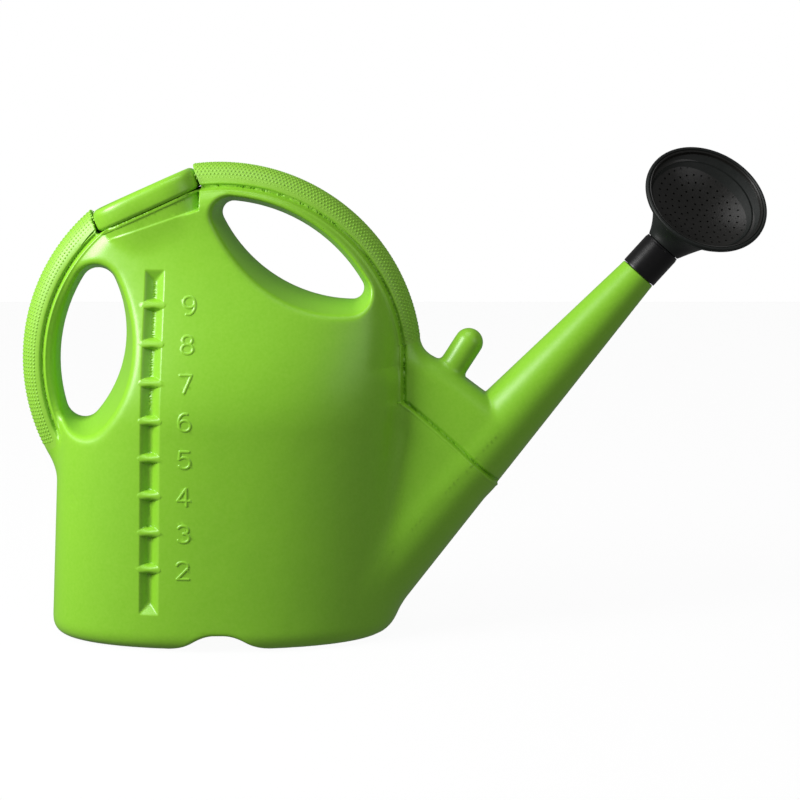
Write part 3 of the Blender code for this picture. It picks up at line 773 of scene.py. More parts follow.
@dataclass(frozen=True)
class LitreScale:
    """The sunk strip, its ribs and the raised numbers beside them."""

    foot_x: float = -55.4
    lean: float = math.tan(math.radians(1.35))
    low: float = 29.5
    high: float = 297.0
    half_width: float = 7.9
    depth: float = 6.4
    bevel: float = 9.0
    two_height: float = 65.9
    step: float = 29.2
    first: int = 2
    last: int = 9
    rib_half_height: float = 3.9
    number_shift: float = 26.5
    number_lean: float = 0.028
    number_width: float = 9.6
    number_height: float = 13.6
    stroke: float = 0.75
    raised: float = 0.55

    def middle(self, z: Array) -> Array:
        """x of the strip at a height."""
        return self.foot_x + self.lean * z

    def heights(self) -> list[float]:
        """Height of each litre mark."""
        return [self.two_height + self.step * i for i in range(self.last - self.first + 1)]

    def sink(self, x: Array, z: Array) -> Array:
        """How deep the strip is sunk at a place on the side.

        Args:
            x: Places along X.
            z: Heights.

        Returns:
            Depths below the side, 0 outside the strip.
        """
        across = np.abs(x - self.middle(z))
        walls = (self.half_width - across) * (self.depth / (self.half_width - 0.8))
        ends = np.minimum(z - self.low, self.high - z) * (self.depth / self.bevel)
        depth = soft_cross(-walls, -ends, 1.0)
        depth = -soft_cross(depth, np.full(depth.shape, -self.depth), 1.2)
        depth = soft_union(-depth, np.zeros(depth.shape), 1.6)
        valley = np.maximum(-depth - 0.4, 0)
        return valley * (1 - self.ribs(x, z))

    def ribs(self, x: Array, z: Array) -> Array:
        """1 on the crown of a rib, 0 between the ribs."""
        share = np.zeros(x.shape)
        across = (x - self.middle(z)) / (self.half_width + 1.6)
        spindle = np.sqrt(np.clip(1 - across ** 2, 0, 1))
        for height in self.heights():
            reach = np.abs(z - height) / (self.rib_half_height * np.maximum(spindle, 0.05))
            round_top = np.sqrt(np.clip(1 - np.clip(reach, 0, 1) ** 2, 0, 1))
            share = np.maximum(share, round_top * (spindle > 0.05))
        return share

    def rib_rise(self, x: Array, z: Array) -> Array:
        """How far the ribs' crowns stand over the side."""
        return 0.35 * self.ribs(x, z)

    def strokes(self, digit: int) -> list[tuple]:
        """The lines and arcs of a number in a box 1 wide and 1.45 high.

        Args:
            digit: The number to draw.

        Returns:
            Lines as x, z, x, z and arcs as x, z, radius x, radius z, from, to.
        """
        half_turn, turn = math.pi, 2 * math.pi
        shapes = {
            2: [(0.0, 0.38, 0.46, 0.36, 0.0, 2.9), (0.42, 0.22, -0.46, -0.7),
                (-0.46, -0.7, 0.5, -0.7)],
            3: [(0.0, 0.36, 0.42, 0.34, -1.5, 2.7), (0.0, -0.32, 0.48, 0.38, 3.7, turn + 1.5)],
            4: [(0.2, 0.72, -0.5, -0.3), (-0.5, -0.3, 0.5, -0.3), (0.22, 0.72, 0.22, -0.72)],
            5: [(0.4, 0.7, -0.32, 0.7), (-0.32, 0.7, -0.4, 0.05),
                (0.0, -0.24, 0.48, 0.46, half_turn + 0.6, turn + 2.4)],
            6: [(0.0, -0.26, 0.46, 0.44, 0.0, turn), (0.06, 0.0, 0.54, 0.72, 1.3, half_turn + 0.4)],
            7: [(-0.46, 0.7, 0.46, 0.7), (0.46, 0.7, -0.14, -0.7)],
            8: [(0.0, 0.36, 0.38, 0.34, 0.0, turn), (0.0, -0.34, 0.46, 0.38, 0.0, turn)],
            9: [(0.0, 0.26, 0.46, 0.44, 0.0, turn), (-0.06, 0.0, 0.54, 0.72, -1.84, 0.4)],
        }
        return shapes[digit]

    def number_place(self, height: float) -> tuple[float, float]:
        """Middle of the number beside a litre mark."""
        lean = self.number_lean * (height - self.low) * 0.2
        return self.middle(height) + self.number_shift + lean, height

    def beside(self, x: Array, z: Array) -> Array:
        """True in the upright field that holds the numbers."""
        return (z > 50) & (z < 290) & (np.abs(x + 30) < 24)

    def numbers(self, x: Array, z: Array) -> Array:
        """Distance to the nearest stroke of a number.

        Args:
            x: Places along X.
            z: Heights.

        Returns:
            Distances in millimetres, 20 where no number is near.
        """
        nearest = np.full(x.shape, 20.0)
        wide = self.number_width
        high = self.number_height / 1.45
        for digit, height in zip(range(self.first, self.last + 1), self.heights()):
            centre_x, centre_z = self.number_place(height)
            near = np.nonzero((np.abs(x - centre_x) < 12) & (np.abs(z - centre_z) < 13))[0]
            u = (x[near] - centre_x) / wide
            v = (z[near] - centre_z) / high
            best = np.full(len(near), 20.0)
            for stroke in self.strokes(digit):
                best = np.minimum(best, self.stroke_distance(stroke, u, v, wide, high))
            nearest[near] = best
        return nearest

    def stroke_distance(self, stroke: tuple, u: Array, v: Array, wide: float,
                        high: float) -> Array:
        """Distance to one line or arc of a number."""
        if len(stroke) == 4:
            start = np.array((stroke[0] * wide, stroke[1] * high))
            run = np.array((stroke[2] * wide, stroke[3] * high)) - start
            rel_x, rel_z = u * wide - start[0], v * high - start[1]
            share = np.clip((rel_x * run[0] + rel_z * run[1]) / (run @ run), 0, 1)
            return np.hypot(rel_x - share * run[0], rel_z - share * run[1])
        centre_u, centre_v, half_u, half_v, start, stop = stroke
        best = np.full(u.shape, 20.0)
        steps = 26
        for i in range(steps + 1):
            angle = start + (stop - start) * i / steps
            reach = np.hypot((u - centre_u - half_u * math.cos(angle)) * wide,
                             (v - centre_v - half_v * math.sin(angle)) * high)
            best = np.minimum(best, reach)
        return best


# ---------------------------------------------------------------- green body

@dataclass(frozen=True)
class GreenBody:
    """The hollow moulding: tank, ring, neck, web, spout and peg."""

    place: Place
    wall: float = 2.2
    tank_length: float = 275.0
    tank_width: float = 150.0
    tank_fullness: float = 2.2
    tank_lean: float = math.tan(math.radians(3))
    tank_shift: float = -2.7
    base_round: float = 15.0
    shoulder: float = 175.0
    crown_radius: float = 144.5
    crown_edge: float = 14.0
    crown_slope: float = 1.67
    ring_height: float = 219.0
    ring_radius: float = 158.7
    grip_depth: float = 17.5
    grip_half_width: float = 17.3
    rail_half_width: float = 16.0
    hand_room: float = 129.1
    front_shift: float = 3.5
    front_end: float = math.radians(6.5)
    rear_end: float = math.radians(206.5)
    hole_draft: float = math.radians(13)
    neck_lean: float = math.radians(24)
    neck_half_length: float = 44.0
    neck_half_width: float = 33.0
    neck_fullness: float = 3.2
    neck_foot: float = 122.0
    neck_top: float = 134.0
    band_slope: float = 0.09
    band_sink: float = 0.7
    mouth_rim: float = 11.0
    tip_radius: float = 15.0
    taper: float = math.radians(4.23)
    spout_length: float = 347.0
    web_half_width: float = 17.0
    web_reach: float = 92.0
    web_round: float = 15.0
    knee_height: float = 190.7
    seam_fall: float = math.radians(41.5)
    seam_reach: float = 99.9
    spigot_radius: float = 12.0
    spigot_bore: float = 9.5
    spigot_length: float = 22.0
    peg_radius: float = 11.4
    peg_x: float = 196.3
    peg_z: float = 234.9
    peg_rise: float = math.radians(57.5)
    peg_length: float = 40.0
    notch_width: float = 50.0
    notch_height: float = 13.0
    groove_depth: float = 2.5
    groove_width: float = 1.5
    crown_foot_slope: float = 1.3
    crown_draw_in: float = 0.5
    rail_overlap: float = 6.0
    grip_blend: float = 3.0
    grip_end: float = 3.0
    grip_end_round: float = 5.0
    neck_root: float = 92.0
    band_fade: float = 1.6
    band_stop: float = 3.2
    band_stop_fade: float = 0.8
    tip_round: float = 1.2
    web_rear_top: tuple = ((164.7, 225.3), (174.7, 222.3))
    web_front_top: tuple = ((174.7, 221.0), (197.5, 203.4))
    web_foot: tuple = ((229.0, 178.4), (148.0, 88.0))
    web_crest: float = 7.0
    web_inset: float = 0.6
    web_swell: float = 1.35
    web_root: float = 22.0
    notch_slope: float = 0.9
    notch_inset: float = 5.5
    notch_crown: float = 8.0
    seam_bow: float = 1.6
    seam_start: float = 100.0
    flank_start: float = 3.0
    flank_fade: float = 5.0
    crown_blend: float = 10.0
    ledge_round: float = 1.2
    ring_blend: float = 7.0
    neck_blend: float = 1.6
    web_blend: float = 2.2
    spout_blend: float = 12.0
    peg_blend: float = 5.0
    front_hole_round: float = 4.5
    rear_hole_round: float = 5.5
    notch_round: float = 4.0
    neck_edge: float = 0.8
    front_hole: tuple = ((106.4, 385.1), 115.3, 9.0)
    rear_hole: tuple = ((-177.5, 246.2), 101.6, 14.0)
    lip_height: float = 0.6
    lip_away: float = 2.6
    proud_height: float = 1.2
    groove_edge: float = 0.95
    band_edge: float = 1.0
    strip_edge: float = 1.15
    number_edge: float = 0.75
    scale_side: float = -12.0
    quick_step: float = 5.0
    full_step: float = 3.3
    space_low: tuple[float, float, float] = (-164, -80, -4)
    space_high: tuple[float, float, float] = (340, 80, 382)
    gate_x: float = -116.6
    gate_z: float = 116.0
    gate_radius: float = 4.0
    scale: LitreScale = LitreScale()

    # -- the frame of the neck

    def groove_radius(self) -> float:
        """Radius of the groove that runs under the grips."""
        return self.ring_radius - self.grip_depth

    def seam_x(self) -> float:
        """x of the upright groove in front of the tank."""
        return self.groove_radius() + self.front_shift

    def neck_frame(self, x: Array, z: Array) -> tuple[Array, Array]:
        """Places along the neck's oval and up its axis."""
        c, s = math.cos(self.neck_lean), math.sin(self.neck_lean)
        up = z - self.ring_height
        return x * c + up * s, up * c - x * s

    # -- the solids

    def half_width_at(self, z: Array) -> tuple[Array, Array]:
        """Half width of the tank and how fast it changes with height."""
        top = self.ring_height + self.neck_foot
        span = top - self.shoulder
        share = np.clip((z - self.shoulder) / span, 0, 1)
        drop = self.neck_half_width - self.tank_width / 2
        return (self.tank_width / 2 + drop * share * share * (3 - 2 * share),
                drop * 6 * share * (1 - share) / span)

    def column(self, x: Array, y: Array, z: Array) -> Array:
        """The oval tank, drawn in to the neck above its shoulder."""
        half, sloping = self.half_width_at(z)
        middle = self.tank_shift + z * self.tank_lean
        return oval_distance(x - middle, y, self.tank_length / 2, half,
                             self.tank_fullness, sloping)

    def crown(self, x: Array, y: Array, z: Array) -> Array:
        """The double cone that thins the tank's top out to the ring."""
        above = z - self.ring_height
        radius = np.hypot(x, np.maximum(above, 0))
        below = np.maximum(-above, 0)
        slope = self.crown_slope
        reach = self.crown_edge + slope * (self.crown_radius - radius)
        reach = reach + self.crown_foot_slope * below
        side = (np.abs(y) - reach) / math.hypot(1, slope)
        return np.maximum(side, radius - self.crown_radius - self.crown_draw_in * below)

    def ring(self, x: Array, y: Array, z: Array) -> Array:
        """The ring of the handle with its fuller outer grip."""
        up = z - self.ring_height
        radius = np.hypot(x, up)
        grip = oval_distance(radius - self.groove_radius(), y, self.grip_depth,
                             self.grip_half_width, 2.0)
        rail = np.maximum(np.abs(y) - self.rail_half_width, radius - self.groove_radius())
        rail = np.maximum(rail, self.hand_room - self.rail_overlap - radius)
        whole = soft_union(grip, rail, self.grip_blend)
        front = np.where(x > 0, self.grip_end - up, -60.0)
        return soft_cross(whole, front, self.grip_end_round)

    def neck(self, t: Array, y: Array, n: Array) -> Array:
        """The oval neck below the collar."""
        side = oval_distance(t, y, self.neck_half_length, self.neck_half_width,
                             self.neck_fullness)
        foot = ease((n - self.neck_foot + self.band_slope * t) / self.band_fade)
        band = foot - ease((n - self.neck_top + self.band_stop) / self.band_stop_fade)
        sunk = np.maximum(side + self.band_sink * band, n - self.neck_top)
        return np.maximum(sunk, self.neck_root - n)

    def spout_frame(self, x: Array, y: Array, z: Array) -> tuple[Array, Array]:
        """Distance back from the tip along the spout, and from its axis."""
        along = self.place.axis()
        rel_x, rel_z = x - self.place.tip_x, z - self.place.tip_z
        back = -(rel_x * along[0] + rel_z * along[2])
        across = rel_x * along[2] - rel_z * along[0]
        return back, np.hypot(across, y)

    def cone(self, x: Array, y: Array, z: Array) -> Array:
        """The tapering spout."""
        back, span = self.spout_frame(x, y, z)
        side = (span - self.tip_radius - back * math.tan(self.taper)) * math.cos(self.taper)
        body = soft_cross(side, -back, self.tip_round)
        return np.maximum(body, back - self.spout_length)

    def web(self, x: Array, y: Array, z: Array) -> Array:
        """The round topped web between the ring and the spout."""
        upper = self.below_line(x, z, *self.web_rear_top)
        lower = self.below_line(x, z, *self.web_front_top)
        top = soft_cross(upper, lower, self.web_crest)
        back, _ = self.spout_frame(x, y, z)
        along = self.place.axis()
        over = (z - self.place.tip_z) * along[0] - (x - self.place.tip_x) * along[2]
        root = self.tip_radius + back * math.tan(self.taper) - self.web_inset
        share = np.clip(over / self.web_reach, 0, 1) ** self.web_swell
        half = root + (self.web_half_width - root) * share
        a = top + self.web_round
        b = np.abs(y) - half + self.web_round
        edge = np.hypot(np.maximum(a, 0), np.maximum(b, 0)) + np.minimum(np.maximum(a, b), 0)
        edge = edge - self.web_round
        foot = self.below_line(x, z, *self.web_foot)
        return np.maximum(np.maximum(edge, foot), self.seam_x() - self.web_root - x)

    def below_line(self, x: Array, z: Array, start: tuple, stop: tuple) -> Array:
        """Distance over a slanting line; left of start to stop is outside."""
        run = np.array(stop) - np.array(start)
        run = run / np.linalg.norm(run)
        return (z - start[1]) * run[0] - (x - start[0]) * run[1]

    def peg(self, x: Array, y: Array, z: Array) -> Array:
        """The round ended peg on which the rose is parked."""
        c, s = math.cos(self.peg_rise), math.sin(self.peg_rise)
        rel_x, rel_z = x - self.peg_x, z - self.peg_z
        down = np.clip(-(rel_x * c + rel_z * s), 0, self.peg_length)
        reach = np.sqrt((rel_x + down * c) ** 2 + y * y + (rel_z + down * s) ** 2)
        return reach - self.peg_radius

    def holes(self, x: Array, y: Array, z: Array) -> list[Array]:
        """The two drafted hand holes."""
        ring = ((0.0, self.ring_height), self.hand_room)
        lenses = [Lens(*ring, *self.front_hole), Lens(*ring, *self.rear_hole)]
        spread = np.sqrt(y * y + 9.0) - 3.0
        draft = math.tan(self.hole_draft)
        return [(lens.distance(x, z) - spread * draft) * math.cos(self.hole_draft)
                for lens in lenses]

    def notch(self, x: Array, z: Array) -> Array:
        """The hand hold across the base."""
        slope = self.notch_slope
        side = np.abs(x) - self.notch_width / 2 + self.notch_inset
        side = side + (z - self.notch_height / 2) * slope
        return soft_cross(side / math.hypot(1, slope), z - self.notch_height, self.notch_crown)

    def coarse(self, points: Array) -> Array:
        """The moulding without its groove, scale and numbers.

        Args:
            points: Rows of x, y, z in can millimetres.

        Returns:
            Distance to the skin, negative inside.
        """
        x, y, z = points.T
        t, n = self.neck_frame(x, z)
        tank = soft_cross(self.column(x, y, z), self.crown(x, y, z), self.crown_blend)
        ledge = n - self.neck_foot + self.band_slope * t - 2.2 * np.maximum(np.abs(t) - 37, 0)
        tank = soft_cross(tank, ledge, self.ledge_round)
        whole = soft_union(tank, self.ring(x, y, z), self.ring_blend)
        whole = soft_union(whole, self.neck(t, y, n), self.neck_blend)
        holes = self.holes(x, y, z)
        spout = soft_union(self.cone(x, y, z), self.web(x, y, z), self.web_blend)
        whole = soft_union(whole, spout, self.spout_blend)
        whole = soft_union(whole, self.peg(x, y, z), self.peg_blend)
        whole = soft_cut(whole, holes[0], self.front_hole_round)
        whole = soft_cut(whole, holes[1], self.rear_hole_round)
        whole = soft_cut(whole, self.notch(x, z), self.notch_round)
        whole = soft_cross(whole, -z, self.base_round)
        room = np.maximum(self.neck_top - n, np.abs(t) - self.neck_half_length - 0.5)
        return soft_cut(whole, room, self.neck_edge)

    # -- the groove

    def seam_slope(self, x: Array, z: Array) -> tuple[Array, Array]:
        """Distance along the slanting seam from its knee, and above it."""
        rel_x, rel_z = x - self.seam_x(), z - self.knee_height
        c, s = math.cos(self.seam_fall), math.sin(self.seam_fall)
        along = rel_x * c - rel_z * s
        bow = self.seam_bow * np.sin(np.clip(along / self.seam_reach, 0, 1) * math.pi)
        return along, rel_x * s + rel_z * c - bow

    def groove(self, x: Array, z: Array) -> tuple[Array, Array]:
        """Distance from the groove, and its strength.

        Args:
            x: Places along X.
            z: Heights.

        Returns:
            Distance, positive on the lip's side, and strength from 0 to 1.
        """
        up = z - self.ring_height
        t = self.neck_frame(x, z)[0]
        rear_angle = np.arctan2(up, x) % (2 * math.pi)
        rear = self.groove_radius() - np.hypot(x, up)
        rear_share = ease((self.rear_end - rear_angle) / 0.12) * (t < 0)
        front_angle = np.arctan2(up, x - self.front_shift)
        front = self.groove_radius() - np.hypot(x - self.front_shift, up)
        on_arc = (t >= 0) & (front_angle > self.front_end)
        upright = self.seam_x() - x
        on_upright = (front_angle <= self.front_end) & (z >= self.knee_height)
        on_upright &= x > self.seam_start
        along, over = self.seam_slope(x, z)
        on_slope = (z < self.knee_height) & (x > self.seam_start)
        slanting = np.where(along < 0, np.hypot(along, over) * np.sign(-over), -over)
        distance = np.where(t < 0, rear, 60.0)
        strength = np.where(t < 0, rear_share, 0.0)
        for here, value in ((on_arc, front), (on_upright, upright), (on_slope, slanting)):
            distance = np.where(here, value, distance)
            strength = np.where(here, 1.0, strength)
        return distance, strength

    def solid(self, points: Array) -> Array:
        """The whole moulding with groove, scale and numbers.

        Args:
            points: Rows of x, y, z in can millimetres.

        Returns:
            Distance to the skin, negative inside.
        """
        x, y, z = points.T
        whole = self.coarse(points)
        distance, strength = self.groove(x, z)
        flank = ease((np.abs(y) - self.flank_start) / self.flank_fade)
        line = self.groove_depth * bump_of(distance, self.groove_width)
        proud = self.proud_height * ease(distance / 1.8) * (1 - ease((distance - 4) / 18))
        lip = self.lip_height * bump_of(distance - self.lip_away, 1.0)
        lip = lip + proud * (z < self.knee_height) * (x > self.seam_start)
        whole = whole + (line - lip) * strength * flank
        front = y < self.scale_side
        whole = whole + np.where(front, self.scale.sink(x, z) - self.scale.rib_rise(x, z), 0)
        near = np.nonzero(front & self.scale.beside(x, z))[0]
        number = self.scale.numbers(x[near], z[near])
        stroke = self.scale.stroke
        whole[near] -= self.scale.raised * ease((stroke * 1.7 - number) / stroke)
        gate = np.hypot(x - self.gate_x, z - self.gate_z) - self.gate_radius
        return whole + np.where(front, 0.25 * bump_of(gate, 1.2), 0)

    def detail_wanted(self, points: Array) -> Array:
        """The edge length that each place of the skin needs.

        Args:
            points: Rows of x, y, z in can millimetres.

        Returns:
            Lengths in millimetres.
        """
        x, y, z = points.T
        wanted = np.full(len(points), 99.0)
        distance, strength = self.groove(x, z)
        in_groove = (distance > -3.2) & (distance < 5.2) & (strength > 0) & (np.abs(y) > 4)
        wanted[in_groove] = self.groove_edge
        t, n = self.neck_frame(x, z)
        foot = np.abs(n - self.neck_foot + self.band_slope * t)
        in_band = (np.abs(t) < 47) & ((foot < 2.0) | (n > self.neck_top - 5))
        wanted[in_band] = self.band_edge
        front = y < self.scale_side
        across = np.abs(x - self.scale.middle(z))
        strip = front & (across < self.scale.half_width + 2) & (z > self.scale.low - 2)
        wanted[strip & (z < self.scale.high + 2)] = self.strip_edge
        near = np.nonzero(front & self.scale.beside(x, z))[0]
        number = self.scale.numbers(x[near], z[near])
        wanted[near[number < 2.0]] = self.number_edge
        return wanted

    # -- the regions

    def front_grip_side(self, points: Array) -> Array:
        """Negative inside the front grip."""
        x, y, z = points.T
        up = z - self.ring_height
        rel = x - self.front_shift
        arc = self.groove_radius() - np.hypot(rel, up)
        end = math.sin(self.front_end) * rel - math.cos(self.front_end) * up
        t = self.neck_frame(x, z)[0]
        outer = np.hypot(x, up) - self.ring_radius - 4.0
        return np.maximum.reduce([arc, end, -t, outer, np.abs(y) - self.grip_half_width - 0.6])

    def rear_grip_side(self, points: Array) -> Array:
        """Negative inside the rear grip."""
        x, y, z = points.T
        up = z - self.ring_height
        arc = self.groove_radius() - np.hypot(x, up)
        end = math.cos(self.rear_end) * up - math.sin(self.rear_end) * x
        t = self.neck_frame(x, z)[0]
        return np.maximum.reduce([arc, end, t, np.abs(y) - self.grip_half_width - 0.6])

    def spout_side(self, points: Array) -> Array:
        """Negative inside the spout's share."""
        x, _, z = points.T
        return np.maximum(self.seam_x() - x, -self.seam_slope(x, z)[1])

    def mouth_side(self, points: Array) -> Array:
        """Negative where the neck is open."""
        x, y, z = points.T
        t, n = self.neck_frame(x, z)
        rim = self.mouth_rim - 1.0
        side = oval_distance(t, y, self.neck_half_length - rim, self.neck_half_width - rim,
                             self.neck_fullness)
        return np.maximum(side, self.neck_top - 3.0 - n)

    def bore_side(self, points: Array) -> Array:
        """Negative where the spout's shoulder is open."""
        back, span = self.spout_frame(*points.T)
        return np.maximum(span - self.spigot_radius, back - 3.0)

    def build(self) -> dict[str, bpy.types.Mesh]:
        """Lay, refine and part the skin.

        Returns:
            One closed mesh for each piece, by name.
        """
        skin = Skin(self.coarse)
        step = self.full_step
        skin.lay(self.space_low, self.space_high, step)
        skin.settle(4)
        skin.even_out(4)
        LOG.info("base skin has %d faces", len(skin.faces))
        skin.solid = self.solid
        for bend, shortest in ((13.0, 1.6), (13.0, 0.9), (16.0, 0.7)):
            skin.refine(bend, shortest, self.detail_wanted)
        LOG.info("fine skin has %d faces", len(skin.faces))
        shares = {}
        skin.faces = skin.part(self.mouth_side(skin.points))[1]
        skin.faces = skin.part(self.bore_side(skin.points))[1]
        for name, side in (("front_grip", self.front_grip_side), ("rear_grip", self.rear_grip_side),
                           ("spout", self.spout_side)):
            inner, outer = skin.part(side(skin.points))
            shares[name] = inner
            skin.faces = outer
        shares["tank"] = skin.faces
        normals = skin.normals()
        meshes = {}
        for name, faces in shares.items():
            faces = largest_body(faces, len(skin.points))
            points, shell = thicken(skin.points, faces, normals, self.wall)
            meshes[name] = mesh_of(name + "_skin", self.place.to_world(points), shell)
            LOG.info("%s has %d triangles", name, len(shell))
        return meshes


def largest_body(faces: Array, count: int) -> Array:
    """Keep the largest connected set of triangles.

    Args:
        faces: Triangles.
        count: Number of points that they refer to.

    Returns:
        The triangles of the largest set.
    """
    label = np.arange(count)
    while True:
        low = label[faces].min(1)
        fresh = label.copy()
        for corner in range(3):
            np.minimum.at(fresh, faces[:, corner], low)
        fresh = fresh[fresh]
        if (fresh == label).all():
            break
        label = fresh
    owner = label[faces[:, 0]]
    names, number = np.unique(owner, return_counts=True)
    return faces[owner == names[number.argmax()]]


# ---------------------------------------------------------------- filler collar

@dataclass(frozen=True)
class Collar:
    """The rolled collar round the filler mouth."""

    body: GreenBody
    gap: float = 0.3
    height: float = 17.0
    proud: float = 1.2
    points: int = 200

    def profile(self) -> Row:
        """Inset from the neck's oval against height over the neck's top.

        Returns:
            A closed round of inset and height pairs.
        """
        top, rim = self.height, self.body.mouth_rim
        corners = [(1.8, self.gap), (0.9, 1.0, 0.8), (0.0, 2.4, 1.2), (-0.05, 7.5, 5.0),
                   (0.9, 14.4, 4.5), (4.6, top + 0.1, 3.0), (rim - 2.6, top - 0.9, 3.0),
                   (rim + 0.4, top - 4.0, 2.4), (rim + 0.2, -3.0), (rim - 2.2, -3.0),
                   (rim - 2.6, self.gap)]
        return bend_profile(corners, 6)

    def outline(self, inset: float, level: float) -> Array:
        """One oval of the collar."""
        body = self.body
        turn = np.arange(self.points) * 2 * math.pi / self.points
        c, s = np.cos(turn), np.sin(turn)
        power = 2 / body.neck_fullness
        t = np.sign(c) * np.abs(c) ** power * (body.neck_half_length - inset)
        y = np.sign(s) * np.abs(s) ** power * (body.neck_half_width + self.proud - inset)
        n = body.neck_top + level
        lean_c, lean_s = math.cos(body.neck_lean), math.sin(body.neck_lean)
        return np.stack([t * lean_c - n * lean_s, y,
                         body.ring_height + n * lean_c + t * lean_s], 1)

    def build(self) -> bpy.types.Mesh:
        """The collar's mesh."""
        rows = [self.outline(inset, level) for inset, level in self.profile()]
        return loft("collar_skin", rows, self.body.place.to_world)


# ---------------------------------------------------------------- grip dots

@dataclass(frozen=True)
class GripDots:
    """Raised dots over one grip, laid out by Geometry Nodes."""

    name: str
    body: GreenBody
    start: float
    stop: float
    stagger: float
    pitch: float = 3.05
    row_pitch: float = 2.9
    rows: int = 15
    radius: float = 0.95
    height: float = 0.5

    def tree(self) -> bpy.types.NodeTree:
        """Build the node tree.

        Returns:
            A tree with inputs for columns, rows, pitch and the ring's sizes.
        """
        graph, given = new_layout(self.name + "_layout", {
            "Columns": "Int", "Rows": "Int", "Start": "Float", "Turn Step": "Float",
            "Row Step": "Float", "Stagger": "Float", "Ring Radius": "Float", "Depth": "Float",
            "Half Width": "Float", "Centre": "Vector", "Dot Radius": "Float",
            "Dot Height": "Float", "Finish": "Material"})
        count = given["Columns"] * given["Rows"]
        cloud = graph.node("MeshLine", {}, {"Count": count})
        index = graph.wire(graph.node("InputIndex"))
        row = index.math("DIVIDE", given["Columns"]).math("FLOOR")
        column = index % given["Columns"]
        shifted = column + (row % 2.0) * given["Stagger"]
        turn = given["Start"] + shifted * given["Turn Step"]
        middle = (given["Rows"] - 1.0) * 0.5
        tilt = (row - middle) * given["Row Step"]
        normal, place = self.on_ring(graph, given, turn, tilt)
        moved = graph.node("SetPosition", {}, {"Geometry": graph.wire(cloud), "Position": place})
        dot = graph.node("MeshUVSphere", {}, {"Segments": 8, "Rings": 5, "Radius": 1.0})
        flat = graph.node("ShaderNodeCombineXYZ", {}, {
            0: given["Dot Radius"], 1: given["Dot Radius"], 2: given["Dot Height"]})
        sized = graph.node("Transform", {}, {"Geometry": graph.wire(dot), "Scale": graph.wire(flat)})
        aimed = graph.node("FunctionNodeAlignRotationToVector", {"axis": "Z"}, {"Vector": normal})
        copies = graph.node("InstanceOnPoints", {}, {
            "Points": graph.wire(moved), "Instance": graph.wire(sized), "Rotation": graph.wire(aimed)})
        real = graph.node("RealizeInstances", {}, {"Geometry": graph.wire(copies)})
        done = graph.node("SetMaterial", {}, {"Geometry": graph.wire(real),
                                              "Material": given["Finish"]})
        graph.node("NodeGroupOutput", {}, {"Geometry": graph.wire(done)})
        return graph.tree

    def on_ring(self, graph: Graph, given: dict[str, Wire], turn: Wire,
                tilt: Wire) -> tuple[Wire, Wire]:
        """The grip's normal and place at a turn about the ring and a tilt across it.

        Args:
            graph: The tree's graph.
            given: The tree's named inputs.
            turn: Angle about the ring's centre.
            tilt: Angle across the grip, 0 at its crown.

        Returns:
            The normal and the position.
        """
        ring_c, ring_s = turn.math("COSINE"), turn.math("SINE")
        side_c, side_s = tilt.math("COSINE"), tilt.math("SINE")
        radius = given["Ring Radius"] + side_c * given["Depth"]
        place = graph.node("ShaderNodeCombineXYZ", {}, {
            0: ring_c * radius, 1: side_s * given["Half Width"], 2: ring_s * radius})
        normal = graph.node("ShaderNodeCombineXYZ", {}, {
            0: ring_c * side_c, 1: side_s, 2: ring_s * side_c})
        return graph.wire(normal), graph.vector("ADD", graph.wire(place), given["Centre"])

    def build(self, finish: bpy.types.Material) -> bpy.types.Mesh:
        """Run the tree and keep its result as a plain mesh.

        Args:
            finish: The dots' material.

        Returns:
            The mesh of all dots, in world metres.
        """
        body = self.body
        ring = body.groove_radius() * MM
        outer = body.ring_radius
        columns = int((self.stop - self.start) * outer / self.pitch)
        centre = body.place.to_world(np.array((0.0, 0.0, body.ring_height)))
        values = {
            "Columns": columns, "Rows": self.rows, "Start": self.start,
            "Turn Step": (self.stop - self.start) / columns,
            "Row Step": self.row_pitch / body.grip_half_width, "Stagger": self.stagger,
            "Ring Radius": ring, "Depth": body.grip_depth * MM,
            "Half Width": body.grip_half_width * MM, "Centre": centre,
            "Dot Radius": self.radius * MM, "Dot Height": self.height * MM, "Finish": finish}
        return run_tree(self.name, self.tree(), values)


def new_layout(name: str, kinds: dict[str, str]) -> tuple[Graph, dict[str, Wire]]:
    """Start a Geometry Nodes tree with named inputs and one geometry output.

    Args:
        name: The tree's name.
        kinds: The kind of each input's socket, by name.

    Returns:
        The tree's graph and its inputs as wires, by name.
    """
    tree = bpy.data.node_groups.new(name, "GeometryNodeTree")
    for label, kind in kinds.items():
        tree.interface.new_socket(label, in_out="INPUT", socket_type="NodeSocket" + kind)
    tree.interface.new_socket("Geometry", in_out="OUTPUT", socket_type="NodeSocketGeometry")
    graph = Graph(tree, "GeometryNode")
    inputs = graph.node("NodeGroupInput")
    return graph, {socket.name: Wire(graph, socket) for socket in inputs.outputs if socket.name}


def run_tree(name: str, tree: bpy.types.NodeTree, values: dict) -> bpy.types.Mesh:
    """Evaluate a Geometry Nodes tree on an empty mesh.

    Args:
        name: Name for the result.
        tree: The tree.
        values: Values of its inputs, by name.

    Returns:
        A plain mesh; the carrier object and its modifier are removed.
    """
    carrier = add_object(name + "_carrier", bpy.data.meshes.new(name + "_carrier"))
    step = carrier.modifiers.new("layout", "NODES")
    step.node_group = tree
    for item in tree.interface.items_tree:
        if item.item_type == "SOCKET" and item.in_out == "INPUT":
            step[item.identifier] = values[item.name]
    graph = bpy.context.evaluated_depsgraph_get()
    mesh = bpy.data.meshes.new_from_object(carrier.evaluated_get(graph))
    carrier.modifiers.remove(step)
    bpy.data.objects.remove(carrier)
    return mesh


# ---------------------------------------------------------------- rose

